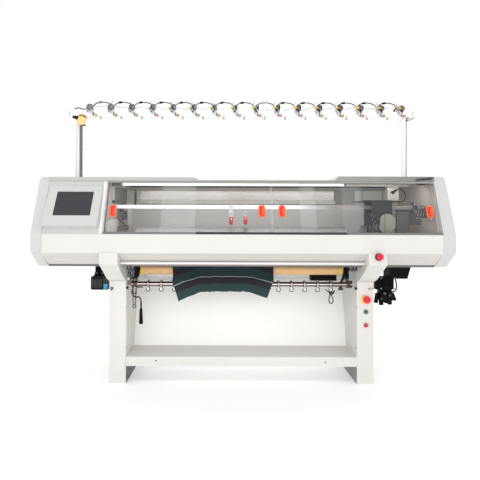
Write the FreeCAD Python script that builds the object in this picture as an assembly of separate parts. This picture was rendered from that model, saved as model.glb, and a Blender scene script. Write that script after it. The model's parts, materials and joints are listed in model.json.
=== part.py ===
"""Flat knitting machine: one STEP file per sub-part, in millimetres.

Every place is first given in the machine's working frame: X from the middle of the machine, Y behind
the face of the front beam, Z above the floor. write_nodes() then moves the whole machine along Y, so
that the origin lies at the middle of its footprint.
"""
import FreeCAD, Part
import math
import os

V = FreeCAD.Vector

# ---- fits ------------------------------------------------------------------------------------
RUN = 0.3            # running clearance of a shaft, stem or slide
GAP = 2.0            # gap left between pieces that pass each other
SHEET = 3.0          # sheet metal of the covers
PAST = 1.0           # how far a cutter reaches past the face that it cuts

# ---- the whole machine -----------------------------------------------------------------------
BODY_HALF = 1334.0   # half of the whole width, over the end caps
REAR_Y = 720.0       # from the beam's face to the back of the covers
LEG_HEIGHT = 806.0

# ---- legs, tray and back panel ---------------------------------------------------------------
OVERHANG = 435.0     # how far the body reaches past each leg
LEG_WIDTH = 116.0
LEG_FRONT = 234.0
LEG_PROUD = 14.0     # how far the legs stand out behind the covers
LEG_ROUND = 10.0
TRAY_TOP = 181.0
TRAY_FLANGE = 63.0
TRAY_HEM = 25.0
TRAY_DEPTH = 262.0
PANEL_LEAN = 154.0   # how far the back panel leans to the rear over its height
PANEL_DROP = 116.0   # from the legs' top to the panel's top
PANEL_FLANGE = 30.0

# ---- bed frame and needle beds ---------------------------------------------------------------
FRAME_THICK = 54.0
FRAME_FRONT = 130.0
THROAT_Y = 325.0     # middle of the gap between the two beds
THROAT = 14.0
BED_RISE = 201.0     # from the frame's top to the beds' upper edges
BED_RUN = 128.0      # level run of each sloping bed
BED_THICK = 22.0
BED_END = 53.0       # from a bed's end to the inner face of the leg below it
RACKING = 25.0       # travel of the rear bed to each side
BASE_END = 5.0       # how far a base casting stays inside its bed's end when the bed is racked
BASE_FOOT = 70.0     # from the frame's front edge to the front casting
BASE_RUN = 62.0      # level width of each base casting at its foot
BASE_WAIST = 100.0   # height of the bend in a casting's rear face
BASE_HEAD = 25.0     # from the throat's middle to the casting's rear edge
SLOT_FRONT = 73.0    # from the throat's middle to the front edge of the fabric slot
SLOT_BACK = 47.0
SLOT_PAST = 30.0     # how far the slot reaches past the beds' ends

# ---- guide rails and carriage ----------------------------------------------------------------
RAIL_AWAY = 175.0    # from the throat's middle to each guide rail
RAIL_CLEAR = 50.0    # from the frame's top to the rails' underside
RAIL_R = 15.0
RAIL_WEB = 12.0
RAIL_WEB_LENGTH = 60.0
RAIL_WEBS = 6
RAIL_WEB_INSET = 60.0
CARRIAGE_INSET = 309.0   # from the right inner wall to the parked carriage's middle
CARRIAGE_LENGTH = 186.0
CAM_THICK = 35.0
CAM_CLEAR = 5.0
CAM_AWAY = 27.0      # from the throat's middle to the cam boxes' upper edges
SHOE_WALL = 13.0     # shoe around a guide rail, beside the rail
SHOE_TOP = 38.0
BRIDGE_CLEAR = 22.0  # from the yarn rails' top to the bridge plate
BRIDGE_PLATE = 12.0
BRIDGE_PLATE_LEFT = 135.0
BRIDGE_PLATE_RIGHT = 93.0
BRIDGE_LEG = 110.0   # length of each bridge leg along the machine
BRIDGE_LEG_THICK = 30.0
BRIDGE_SHIFT = 10.0  # the bridge legs stand this far right of the carriage's middle
BRIDGE_AWAY = 95.0   # from the throat's middle to the inner face of each bridge leg
BELT_ARM = 80.0      # length of the arm that grips the belt
BELT_ARM_THICK = 8.0
OVAL_WIDTH = 114.0
OVAL_HEIGHT = 134.0
OVAL_DROP = 39.0     # from the beds' upper edges down to the covers' lower ends
OVAL_THICK = 18.0
OVAL_SHIFT = 26.0

# ---- yarn rails and feeders ------------------------------------------------------------------
YARN_RAIL_RISE = 126.0   # from the beds' upper edges to the rails' underside
YARN_RAIL_HEIGHT = 24.0
YARN_RAIL_THICK = 20.0
YARN_GROOVE = 3.0
FRONT_YARN_RAIL = THROAT_Y - 53.0
REAR_YARN_RAIL = THROAT_Y + 16.0
FEEDER_WIDTH = 27.0
FEEDER_PLATE = 6.0
FEEDER_DROP = 59.0   # from the rails' underside to the coloured block's top
FEEDER_TOE = 12.0    # thickness of the coloured block
FEEDER_NOSE_R = 2.5
FEEDER_CLIP = 4.0
FEEDER_1_X = -73.0
FEEDER_2_X = 26.0
FEEDER_3_INSET = 99.0    # from the left inner wall
CLAMP_HOOKS = 5
CLAMP_PITCH = 21.0
CLAMP_LENGTH = 110.0
CLAMP_DROP = 27.0    # from the yarn rails' underside to the clamp bar's underside
CLAMP_BAR = 16.0     # height of the clamp's bar
CLAMP_BLOCK = 12.0   # width and depth of its blocks
CLAMP_HOOK_R = 3.0

# ---- belt drive ------------------------------------------------------------------------------
BELT_BEHIND = 29.0   # from the rear rail's shoe to the belt's middle
BELT_WIDTH = 25.0
BELT_THICK = 4.0
PULLEY_R = 45.0
PULLEY_CLEAR = 21.0  # from the frame's top to the belt's lower run
PULLEY_SHAFT_R = 10.0
PULLEY_HOLE_R = 8.0
PULLEY_HOLES = 6
DRIVE_INSET = 61.0   # from the right inner wall to the drive pulley's axis
IDLER_INSET = 63.0
FORK_THICK = 10.0
FORK_WIDTH = 50.0
FORK_GAP = 3.0       # between a pulley and its fork

# ---- covers ----------------------------------------------------------------------------------
LEFT_CAP = 70.0
RIGHT_CAP = 81.0
CONTROL_BAY = 382.0  # length of the cover to the left of the doors
BEAM_RISE = 99.0     # from the legs' top to the front beam's lower edge
BEAM_HEIGHT = 118.0
BEAM_LIP = 44.0
COVER_RUN = 115.0    # the lower cover slopes back by this much
COVER_DROP = 84.0
GROOVE = 3.0
SLOPE_FOOT = 4.0     # the doors' outer face starts this far behind the beam's face
SLOPE_LEAN = 21.4    # lean of the doors from the vertical, in degrees
DOOR_OPENING = 345.0     # from the beam's top to the hood's underside
HOOD_AHEAD = 11.2    # how far the hood stands out over the doors
HOOD_LEFT = 23.0     # the hood's height at its left end
HOOD_NOTCH = 6.0     # the same in its notch
HOOD_RIGHT = 32.0
NOTCH_LEFT = -287.0
NOTCH_RIGHT = 603.0
NOTCH_SLANT = 24.0
CAP_PROUD = 4.0
CAP_ROUND = 11.0
JAMB_DEPTH = 28.0
INNER_WALL = 6.0
WINDOW_INSET = 100.0     # from the doors' left jamb to the rear window
WINDOW_SHORT = 512.0     # from the right side to the rear window
WINDOW_DROP = 38.0
WINDOW_HEIGHT = 100.0
LIGHT_R = 13.0
LIGHT_DROP = 20.0
LIGHT_BEHIND = 50.0
LIGHT_LEFT = 72.0    # from the doors' left jamb to the light
LIGHT_RIGHT = 147.0
LIGHT_CLIP = 24.0

# ---- sliding doors ---------------------------------------------------------------------------
DOOR_THICK = 5.0
DOOR_SPACING = 17.0  # from one door's face to the same face of the other
DOOR_OVERLAP = 11.0
DOOR_END = 2.0       # gap between a closed door and its jamb
TRACK_BASE = 4.0
TRACK_LIP = 9.0
TRACK_FIN = 2.0
TRACK_PLAY = 1.0
PULL_WIDTH = 41.0
PULL_HEIGHT = 80.0
PULL_THICK = 10.0
PULL_RISE = 145.0
PULL_RIM = 9.0
PULL_END = 14.0
PULL_FLOOR = 4.0
PULL_INSET = 51.0    # from the door's outer end to the middle of its pull
PULL_MEETING = 71.0  # the same at the end where the doors meet

# ---- display ---------------------------------------------------------------------------------
DISPLAY_INSET = 9.0  # from the body's left side
DISPLAY_WIDTH = 346.0
DISPLAY_RISE = 34.0  # from the beam's top
DISPLAY_HEIGHT = 283.0
DISPLAY_CHIN = 20.0
DISPLAY_BROW = 12.0
DISPLAY_TILT = 30.0
DISPLAY_ROUND = 24.0
DISPLAY_AHEAD = 43.0     # the screen's lower edge stands this far ahead of the cover
SCREEN_INSET = 59.0
SCREEN_WIDTH = 233.5
SCREEN_RISE = 117.0
SCREEN_HEIGHT = 176.0
SCREEN_DEPTH = 6.0
SCREEN_THICK = 4.0
SCREEN_GAP = 1.0

# ---- take-down -------------------------------------------------------------------------------
ROLLER_Y = THROAT_Y - 25.0
ROLLER_DROP = 39.0   # from the legs' top to the roller's axis
ROLLER_R = 35.0
ROLLER_END = 81.0    # from the roller's end to the leg
JOURNAL_R = 10.0
BRACKET_THICK = 16.0
BRACKET_GAP = 8.0
BRACKET_RIM = 24.0   # metal around the shaft and the roller's journal
SHAFT_AHEAD = 50.0   # from the roller's axis to the shaft's
SHAFT_DROP = 132.0
SHAFT_R = 15.0
SHAFT_END = 31.0     # from the shaft's end to the leg
LEVER_COUNT = 15
LEVER_LEFT = 66.0    # from the roller's left end to the first lever
LEVER_RIGHT = 95.5
COLLAR_R = 21.0
COLLAR_WIDTH = 16.0
HOOK_R = 15.0
HOOK_WIRE = 6.0
HOOK_STEM = 8.0
HOOK_GAP = 2.0       # between the collar and the hook's ring
NUB_R = 3.5
NUB_LENGTH = 9.0
NUB_TILT = 30.0
GUIDE_INSET = 12.0   # from the roller's left end to the guide plate
GUIDE_DROP = 111.0
GUIDE_BEHIND = 4.0   # from the slot's rear edge to the guide plate
MOTOR_INSET = 202.0  # from the roller's right end to the motor's left end
MOTOR_WIDTH = 179.0
MOTOR_GAP = 21.0     # from the guide plate to the motor
MOTOR_DROP = 60.0
MOTOR_HEIGHT = 68.0
MOTOR_DEPTH = 76.0
MOTOR_ROUND = 6.0
HANGER_INSET = 20.0
HANGER_THICK = 8.0
CRANK_INSET = 12.0   # from the shaft's end to the crank
CRANK_HUB_R = 23.0
CRANK_HUB = 18.0
CRANK_ROD = 6.0
CRANK_DROP = 90.0
CRANK_SIDE = 56.0
CRANK_REACH = 172.0  # from the shaft down to the grip
GRIP_LENGTH = 104.0
GRIP_TOP_R = 10.0
GRIP_LOW_R = 14.0

# ---- knitted cloth ---------------------------------------------------------------------------
CLOTH_THICK = 3.0
CLOTH_GAP = 4.0      # from the roller and the shaft's collars
CLOTH_TUCK = 16.0    # from the beds' upper edges to the cloth's top
CLOTH_NECK = 40.0    # straight stretch in the throat
CLOTH_TAIL = 149.0   # from the shaft's axis to the level of the lowest section
CLOTH_FOLD = 5.0     # depth of the hanging folds
CLOTH_LEFT = -470.0
CLOTH_RIGHT = 210.0
CLOTH_FOLDS = 9
# the cut edge, as X and the drop from the legs' top
CLOTH_EDGE = ((-463, 71), (-468, 116), (-451, 166), (-426, 242), (-314, 195), (-275, 183), (-164, 177),
              (-9, 178), (58, 183), (105, 201), (172, 218), (193, 138), (209, 101))

# ---- neck covers, bar and controls -----------------------------------------------------------
NECK_NOSE = 13.0     # how far the nose stands ahead of the beam's face
NECK_LEAN = 7.0      # how far the face above the nose leans back
NECK_CHIN = 33.0
NECK_NOSE_ROUND = 9.0
NECK_DROP = 111.0    # from the legs' top to the neck's lower end
BAR_R = 12.0
BAR_Y = 70.0
BAR_RISE = 26.0
BAR_PIN_R = 7.0
BAR_PIN = 14.0
CONTROL_INSET = 60.0     # from the right leg's inner face
STOP_CAP_R = 24.0
NECK_CAP_R = 21.0
CAP_DEPTH = 12.0
CAP_EDGE = 4.0
STEM_R = 8.0
STEM_LENGTH = 14.0
BASE_R = 15.0
BASE_DEPTH = 15.0
CAP_LIFT = 4.0       # free travel between a stop cap and its base
PLATE_R = 29.0
PLATE_THICK = 3.0
LEG_STOP_DROP = 229.0
NECK_STOP_DROP = 19.0    # below the beam's lower edge
NECK_STOP_INSET = 62.0
GREEN_DROP = 315.0
RED_DROP = 406.0
BEZEL_R = 16.0
BEZEL_DEPTH = 8.0
BUTTON_R = 12.0
BUTTON_DEPTH = 9.0
BUTTON_PROUD = 5.0
BUTTON_EDGE = 2.0

# ---- drive motor and servo box, placed from the body's sides and the legs' top ----------------
DRIVE_FRONT = 340.0
DRIVE_DEPTH = 130.0
HOUSING = ((208, 106), (85, 106), (59, 16), (59, 0), (208, 0))
DRIVE_PLATE = (301, 173, 185, 94)
DRIVE_NECK = (268, 183, 246, 184)
DRIVE_TIE = (213, 183, 116, 86)
HEAD_R = 42.0
HEAD_PLACE = (223, 240)
# each plug: its radius, then the place and drop of its upper and its lower end
PLUGS = ((14, 278, 216, 288, 286), (13, 173, 216, 153, 266), (16, 253, 246, 249, 300),
         (15, 195, 246, 187, 296))
SERVO_INSET = 173.0  # from the body's left side
SERVO_WIDTH = 127.0
SERVO_DROP = 114.0
SERVO_HEIGHT = 97.0
SERVO_FRONT = 450.0
SERVO_DEPTH = 110.0
SERVO_ROUND = 5.0
SERVO_PLUG_R = 15.0
SERVO_PLUG = 26.0
SERVO_PLUG_INSETS = (34.0, 89.0)

# ---- yarn stand ------------------------------------------------------------------------------
STAND_Y = 500.0
POST_INSET = 129.0   # from the whole width's end to a post's axis
POST_R = 19.0
POST_HEIGHT = 459.0  # of the right post, over the hood
POST_FOOT = 14.0
POST_FOOT_THICK = 8.0
FLARE_LOW = 20.0
FLARE_TOP = 46.0
FLARE_HEIGHT = 26.0
FLARE_THICK = 36.0
TOP_BAR_HEIGHT = 47.0
TOP_BAR_DEPTH = 40.0
TOP_BAR_PAST = 54.0  # how far the bar reaches past the posts
TOP_BAR_ROUND = 3.0
UNIT_COUNT = 16
UNIT_FREE = 263.5    # length of the bar that the row of units leaves free
UNIT_SHIFT = 30.0    # the row of units sits this far right of the middle
UNIT_FAN = (50, 24, 11, 6, 5, 4, 3, 2, 0, -2, -4, -6, -8, -10, -14, -18)
UNIT_BASE = 12.0
UNIT_WIDTH = 24.0
UNIT_BODY = 30.0
DISC_R = 24.0
DISC_AHEAD = 22.0    # the discs' middle is this far ahead of the bar's middle
DISC_THICK = 5.0
DISC_GAP = 4.0
SPINDLE_R = 3.0
KNOB_R = 9.0
KNOB_TIP_R = 6.0
KNOB_LENGTH = 26.0
BALL_R = 10.0
BALL_STEM = 16.0
BALL_SHIFT = 35.0
BALL_RISE = 11.0
WIRE_R = 2.0
EYELET_R = 7.0
EYELET_ARM = 205.0
EYELET_RISE = 18.0
HUB_AHEAD = 10.0
HUB_RISE = 26.0
HUB_PIN_R = 2.5
HUB_SHIFT = 15.0     # the take-up hub's middle is this far left of its unit's middle
HUB_WIDTH = 12.0
TAKE_UP_ARM = 150.0
TAKE_UP_RISE = 12.0
TAKE_UP_HUB_R = 5.0
LEAD_R = 3.25
LEAD_BEHIND = 14.0
LEAD_END = 3.0
LEAD_RISE = 30.0
LAMP_INSET = 45.0    # from the left post's axis
LAMP_SIZE = 48.0
LAMP_HEIGHT = 56.0
LAMP_ROUND = 6.0
LAMP_TILT = 12.0
LAMP_GAP = 6.0
LAMP_STEM = 16.0
LAMP_STEM_THICK = 6.0

# ---- values worked out from the sizes above --------------------------------------------------
LEG_OUTER = BODY_HALF - OVERHANG
LEG_INNER = LEG_OUTER - LEG_WIDTH
LEG_BACK = REAR_Y + LEG_PROUD
FRAME_TOP = LEG_HEIGHT + FRAME_THICK
FRAME_BACK = REAR_Y - 2 * SHEET
BED_APEX = FRAME_TOP + BED_RISE
BED_HALF = LEG_INNER - BED_END
SLOT_HALF = BED_HALF + SLOT_PAST
SIDE_LEFT = LEFT_CAP - BODY_HALF
SIDE_RIGHT = BODY_HALF - RIGHT_CAP
WINDOW_LEFT = SIDE_LEFT + CONTROL_BAY
WALL_LEFT = WINDOW_LEFT + 2 * GAP
WALL_RIGHT = SIDE_RIGHT - GAP
BEAM_LOW = LEG_HEIGHT + BEAM_RISE
BEAM_TOP = BEAM_LOW + BEAM_HEIGHT
COVER_LOW = BEAM_LOW - COVER_DROP
SINE = math.sin(math.radians(SLOPE_LEAN))
COSINE = math.cos(math.radians(SLOPE_LEAN))
HOOD_BOTTOM = BEAM_TOP + DOOR_OPENING
HOOD_FRONT = SLOPE_FOOT + DOOR_OPENING * SINE / COSINE - HOOD_AHEAD
HOOD_LEFT_TOP = HOOD_BOTTOM + HOOD_LEFT
HOOD_NOTCH_TOP = HOOD_BOTTOM + HOOD_NOTCH
HOOD_RIGHT_TOP = HOOD_BOTTOM + HOOD_RIGHT
REAR_WINDOW_LEFT = WINDOW_LEFT + WINDOW_INSET
REAR_WINDOW_RIGHT = SIDE_RIGHT - WINDOW_SHORT
REAR_WINDOW_HIGH = HOOD_BOTTOM - WINDOW_DROP
REAR_WINDOW_LOW = REAR_WINDOW_HIGH - WINDOW_HEIGHT
DOOR_LENGTH = (SIDE_RIGHT - WINDOW_LEFT - 2 * DOOR_END + DOOR_OVERLAP) / 2
PULL_Z = BEAM_TOP + PULL_RISE
DISPLAY_LEFT = SIDE_LEFT + DISPLAY_INSET
DISPLAY_RIGHT = DISPLAY_LEFT + DISPLAY_WIDTH
DISPLAY_LOW = BEAM_TOP + DISPLAY_RISE
DISPLAY_HIGH = DISPLAY_LOW + DISPLAY_HEIGHT
SCREEN_LEFT = DISPLAY_LEFT + SCREEN_INSET
SCREEN_LOW = BEAM_TOP + SCREEN_RISE
RAIL_Z = FRAME_TOP + RAIL_CLEAR + RAIL_R
SHOE_HALF = RAIL_R + SHOE_WALL
CARRIAGE_X = WALL_RIGHT - CARRIAGE_INSET
OVAL_X = CARRIAGE_X + OVAL_SHIFT
OVAL_LOW = BED_APEX - OVAL_DROP
OVAL_HIGH = OVAL_LOW + OVAL_HEIGHT
YARN_RAIL_Z = BED_APEX + YARN_RAIL_RISE
BRIDGE_TOP = YARN_RAIL_Z + YARN_RAIL_HEIGHT + BRIDGE_CLEAR + BRIDGE_PLATE
BELT_Y = THROAT_Y + RAIL_AWAY + SHOE_HALF + BELT_BEHIND
BELT_Z = FRAME_TOP + PULLEY_CLEAR + BELT_THICK + PULLEY_R
DRIVE_PULLEY_X = WALL_RIGHT - DRIVE_INSET
IDLER_PULLEY_X = WALL_LEFT + IDLER_INSET
ROLLER_Z = LEG_HEIGHT - ROLLER_DROP
ROLLER_HALF = LEG_INNER - ROLLER_END
SHAFT_Y = ROLLER_Y - SHAFT_AHEAD
SHAFT_Z = LEG_HEIGHT - SHAFT_DROP
SHAFT_HALF = LEG_INNER - SHAFT_END
LEVER_FIRST = LEVER_LEFT - ROLLER_HALF
LEVER_PITCH = (2 * ROLLER_HALF - LEVER_LEFT - LEVER_RIGHT) / (LEVER_COUNT - 1)
GUIDE_Y = THROAT_Y + SLOT_BACK + GUIDE_BEHIND
MOTOR_LEFT = ROLLER_HALF - MOTOR_INSET
CRANK_X = CRANK_INSET - SHAFT_HALF
NECK_LOW = LEG_HEIGHT - NECK_DROP
BAR_Z = LEG_HEIGHT + BAR_RISE
CONTROL_X = LEG_INNER + CONTROL_INSET
STOP_FACE = BASE_DEPTH + CAP_LIFT
LEG_STOP_Z = LEG_HEIGHT - LEG_STOP_DROP
NECK_STOP_X = LEG_INNER + NECK_STOP_INSET
NECK_STOP_Z = BEAM_LOW - NECK_STOP_DROP
GREEN_Z = LEG_HEIGHT - GREEN_DROP
RED_Z = LEG_HEIGHT - RED_DROP
POST_X = BODY_HALF - POST_INSET
TOP_BAR_LOW = HOOD_RIGHT_TOP + POST_HEIGHT
TOP_BAR_TOP = TOP_BAR_LOW + TOP_BAR_HEIGHT
TOP_BAR_HALF = POST_X + TOP_BAR_PAST
UNIT_TOP = TOP_BAR_TOP + UNIT_BASE + UNIT_BODY
UNIT_PITCH = (2 * TOP_BAR_HALF - UNIT_FREE) / (UNIT_COUNT - 1)
HUB_Y = STAND_Y - HUB_AHEAD
HUB_Z = TOP_BAR_TOP + UNIT_BASE + HUB_RISE
LAMP_X = LAMP_INSET - POST_X


# ---- helpers ---------------------------------------------------------------------------------
def block(x0, x1, y0, y1, z0, z1):
    """A box between two corners."""
    return Part.makeBox(x1 - x0, y1 - y0, z1 - z0, V(x0, y0, z0))


def along_x(outline, x0, x1):
    """A (y, z) outline drawn out along X."""
    corners = [V(x0, y, z) for y, z in outline]
    return Part.Face(Part.makePolygon(corners + corners[:1])).extrude(V(x1 - x0, 0, 0))


def along_y(outline, y0, y1):
    """An (x, z) outline drawn out along Y."""
    corners = [V(x, y0, z) for x, z in outline]
    return Part.Face(Part.makePolygon(corners + corners[:1])).extrude(V(0, y1 - y0, 0))


def rod(start, end, radius):
    """A round bar between two points."""
    axis = end - start
    return Part.makeCylinder(radius, axis.Length, start, axis)


def rod_x(x0, x1, y, z, radius):
    """A round bar along X."""
    return rod(V(x0, y, z), V(x1, y, z), radius)


def tube_path(points):
    """Straight runs joined by tangent arcs, each as large as its two runs allow; prints the least radius."""
    edges = []
    start = points[0]
    least = None
    for i in range(1, len(points) - 1):
        before, here, after = points[i - 1], points[i], points[i + 1]
        back = (before - here).normalize()
        onward = (after - here).normalize()
        half_turn = (math.pi - back.getAngle(onward)) / 2
        reach = 0.45 * min((before - here).Length, (after - here).Length)
        radius = reach / math.tan(half_turn)
        least = radius if least is None else min(least, radius)
        enter, leave = here + back * reach, here + onward * reach
        centre = here + (back + onward).normalize() * (radius / math.cos(half_turn))
        middle = centre + (here - centre).normalize() * radius
        edges += [Part.LineSegment(start, enter).toShape(), Part.Arc(enter, middle, leave).toShape()]
        start = leave
    edges.append(Part.LineSegment(start, points[-1]).toShape())
    return Part.Wire(edges), least


def tube(points, radius):
    """A bent rod or a cord's tube along its route."""
    path, least = tube_path(points)
    circle = Part.makeCircle(radius, points[0], points[1] - points[0])
    solid = path.makePipeShell([Part.Wire(circle)], True, False)
    share = solid.Volume / (math.pi * radius ** 2 * path.Length)
    print("tube: length %.0f, least radius %.1f, volume share %.4f" % (path.Length, least, share))
    return solid


def fused(*solids):
    """Solids joined into one clean solid."""
    return solids[0].multiFuse(list(solids[1:])).removeSplitter()


def rounded(solid, radius, choose):
    """The solid with the edges that choose() picks rounded off."""
    return solid.makeFillet(radius, [edge for edge in solid.Edges if choose(edge)])


def runs_along(edge, axis):
    """True for a straight edge that runs along the axis."""
    ends = [vertex.Point for vertex in edge.Vertexes]
    return len(ends) == 2 and abs((ends[1] - ends[0]).normalize().dot(axis)) > 0.999


def mirrored(solid, x=None, y=None):
    """The solid mirrored in the plane at x or at y."""
    if x is not None:
        return solid.mirror(V(x, 0, 0), V(1, 0, 0))
    return solid.mirror(V(0, y, 0), V(0, 1, 0))


def turned(solid, centre, axis, angle):
    """A turned copy of the solid."""
    copy = solid.copy()
    copy.rotate(centre, axis, angle)
    return copy


def on_slope(z, w):
    """The (y, z) point of the doors' slope at a height, w outside the outer door's face."""
    u = (z - BEAM_TOP - w * SINE) / COSINE
    return (SLOPE_FOOT + u * SINE - w * COSINE, z)


def slope_plate(low, high, inner, outer, x0, x1):
    """A plate that leans with the doors, with level top and bottom edges."""
    outline = [on_slope(low, inner), on_slope(high, inner), on_slope(high, outer), on_slope(low, outer)]
    return along_x(outline, x0, x1)


# ---- legs, tray and back panel ---------------------------------------------------------------
def leg(side):
    body = block(LEG_INNER, LEG_OUTER, LEG_FRONT, LEG_BACK, 0, LEG_HEIGHT)
    body = rounded(body, LEG_ROUND, lambda edge: runs_along(edge, V(0, 0, 1)))
    return body if side > 0 else mirrored(body, x=0)


def neck(side):
    """Cover that joins the front beam to the leg's front, with a rounded nose."""
    outline = [(-NECK_NOSE + NECK_LEAN, BEAM_LOW), (-NECK_NOSE, COVER_LOW + NECK_CHIN),
               (-NECK_NOSE + 4, COVER_LOW + 12),
               (SHEET + 17, COVER_LOW - 4), (LEG_FRONT - 60, NECK_LOW + 24), (LEG_FRONT, NECK_LOW),
               (LEG_FRONT, LEG_HEIGHT), (FRAME_FRONT - GAP, LEG_HEIGHT), (FRAME_FRONT - GAP, BEAM_LOW)]
    body = along_x(outline, LEG_INNER, LEG_OUTER)
    corners = [V(LEG_INNER, y, z) for y, z in outline[1:4]]

    def at_nose(edge):
        return runs_along(edge, V(1, 0, 0)) and any(
            (vertex.Point - corner).Length < 0.01 for vertex in edge.Vertexes for corner in corners)

    body = rounded(body, NECK_NOSE_ROUND, at_nose)
    pin = rod_x(LEG_INNER - PAST, LEG_INNER + BAR_PIN + GAP, BAR_Y, BAR_Z, BAR_PIN_R + RUN)
    body = body.cut(pin)
    return body if side > 0 else mirrored(body, x=0)


def tray():
    """Folded shelf between the legs: a top and a front flange."""
    top = block(-LEG_INNER, LEG_INNER, LEG_FRONT, LEG_FRONT + TRAY_DEPTH, TRAY_TOP - SHEET, TRAY_TOP)
    flange = block(-LEG_INNER, LEG_INNER, LEG_FRONT, LEG_FRONT + SHEET, TRAY_TOP - TRAY_FLANGE, TRAY_TOP)
    hem = block(-LEG_INNER, LEG_INNER, LEG_FRONT, LEG_FRONT + TRAY_HEM, TRAY_TOP - TRAY_FLANGE,
                TRAY_TOP - TRAY_FLANGE + SHEET)
    return fused(top, flange, hem)


def back_panel():
    """Leaning sheet behind the tray, with a level flange at its top."""
    foot = LEG_FRONT + TRAY_DEPTH
    head = foot + PANEL_LEAN
    top = LEG_HEIGHT - PANEL_DROP
    outline = [(foot, TRAY_TOP - SHEET), (foot + SHEET, TRAY_TOP - SHEET), (head + SHEET, top - SHEET),
               (head + PANEL_FLANGE, top - SHEET), (head + PANEL_FLANGE, top), (head, top)]
    return along_x(outline, -LEG_INNER, LEG_INNER)


# ---- bed frame and needle beds ---------------------------------------------------------------
def bed_slope(y):
    """Height of the front bed's top face."""
    return BED_APEX - (THROAT_Y - THROAT / 2 - y)


def front_base():
    """Casting that carries the front bed, clear of the fabric behind it."""
    foot = FRAME_FRONT + BASE_FOOT
    half = BED_HALF - RACKING - BASE_END
    under = BED_THICK * math.sqrt(2)
    low = foot + 6
    high = THROAT_Y - BASE_HEAD
    outline = [(foot, FRAME_TOP - 1), (foot + BASE_RUN, FRAME_TOP - 1), (high - 15, FRAME_TOP + BASE_WAIST),
               (high, bed_slope(high) - under), (low, bed_slope(low) - under),
               (foot, bed_slope(low) - under - 6)]
    return along_x(outline, -half, half)


def bed_frame():
    """Thick frame over the legs with the fabric slot, and the two base castings on it."""
    plate = block(SIDE_LEFT, SIDE_RIGHT, FRAME_FRONT, FRAME_BACK, LEG_HEIGHT, FRAME_TOP)
    slot = block(-SLOT_HALF, SLOT_HALF, THROAT_Y - SLOT_FRONT, THROAT_Y + SLOT_BACK,
                 LEG_HEIGHT - PAST, FRAME_TOP + PAST)
    front = front_base()
    rear = mirrored(front, y=THROAT_Y)
    return fused(plate.cut(slot), front, rear)


def needle_bed(lift):
    """Front needle bed: a thick plate that slopes up to the throat."""
    apex = THROAT_Y - THROAT / 2
    foot = apex - BED_RUN
    half = BED_THICK / math.sqrt(2)
    outline = [(foot, bed_slope(foot)), (apex, BED_APEX), (apex, BED_APEX - 2 * half),
               (foot + half, bed_slope(foot) - half)]
    bed = along_x(outline, -BED_HALF, BED_HALF)
    bed.translate(V(0, 0, lift))
    return bed


# ---- guide rails and carriage ----------------------------------------------------------------
def guide_rails():
    front = rod_x(WALL_LEFT + INNER_WALL, WALL_RIGHT - INNER_WALL, THROAT_Y - RAIL_AWAY, RAIL_Z, RAIL_R)
    return [front, mirrored(front, y=THROAT_Y)]


def bed_brackets():
    """Webs under both guide rails and the forks of the two belt pulleys."""
    solids = []
    rails = guide_rails()
    first = WALL_LEFT + RAIL_WEB_INSET
    step = (WALL_RIGHT - WALL_LEFT - 2 * RAIL_WEB_INSET) / (RAIL_WEBS - 1)
    half = RAIL_WEB_LENGTH / 2
    y = THROAT_Y - RAIL_AWAY
    for i in range(RAIL_WEBS):
        x = first + i * step
        web = block(x - half, x + half, y - RAIL_WEB / 2, y + RAIL_WEB / 2, FRAME_TOP, RAIL_Z)
        web = web.cut(rails[0])
        solids += [web, mirrored(web, y=THROAT_Y)]
    for x in (DRIVE_PULLEY_X, IDLER_PULLEY_X):
        y0 = BELT_Y + BELT_WIDTH / 2 + FORK_GAP
        y1 = y0 + FORK_THICK
        side = FORK_WIDTH / 2
        cheek = block(x - side, x + side, y0, y1, FRAME_TOP, BELT_Z + side)
        bore = rod(V(x, y0 - PAST, BELT_Z), V(x, y1 + PAST, BELT_Z), PULLEY_SHAFT_R + RUN)
        solids.append(cheek.cut(bore))
    return solids


def cam_box():
    """Front cam box: a plate over the bed and a shoe around the guide rail."""
    lift = CAM_CLEAR * math.sqrt(2)
    thick = CAM_THICK / math.sqrt(2)
    low = THROAT_Y - THROAT / 2 - BED_RUN - 2
    high = THROAT_Y - CAM_AWAY
    outline = [(low, bed_slope(low) + lift), (high, bed_slope(high) + lift),
               (high - thick, bed_slope(high) + lift + thick), (low - thick, bed_slope(low) + lift + thick)]
    x0, x1 = CARRIAGE_X - CARRIAGE_LENGTH / 2, CARRIAGE_X + CARRIAGE_LENGTH / 2
    plate = along_x(outline, x0, x1)
    rail_y = THROAT_Y - RAIL_AWAY
    shoe = block(x0, x1, rail_y - SHOE_HALF, rail_y + SHOE_HALF, RAIL_Z - RAIL_R - 5, RAIL_Z + SHOE_TOP)
    bore = rod_x(x0 - PAST, x1 + PAST, rail_y, RAIL_Z, RAIL_R + RUN)
    half_mouth = RAIL_WEB / 2 + 2 * GAP
    mouth = block(x0 - PAST, x1 + PAST, rail_y - half_mouth, rail_y + half_mouth,
                  RAIL_Z - RAIL_R - 10, RAIL_Z)
    return fused(plate, shoe).cut(bore).cut(mouth)


def cam_boxes():
    """The two cam boxes; the rear one carries the arm that grips the belt."""
    front = cam_box()
    rear = mirrored(front, y=THROAT_Y)
    arm_y = THROAT_Y + RAIL_AWAY + SHOE_HALF
    belt_top = BELT_Z + PULLEY_R + BELT_THICK
    arm_low = belt_top + PAST
    arm_top = arm_low + BELT_ARM_THICK
    x0, x1 = CARRIAGE_X - BELT_ARM / 2, CARRIAGE_X + BELT_ARM / 2
    arm = block(x0, x1, arm_y - 10, BELT_Y + BELT_WIDTH / 2, arm_low, arm_top)
    web = block(x0, x1, arm_y - 10, arm_y, RAIL_Z + SHOE_TOP - 1, arm_top)
    return [front, fused(rear, arm, web)]


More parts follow.
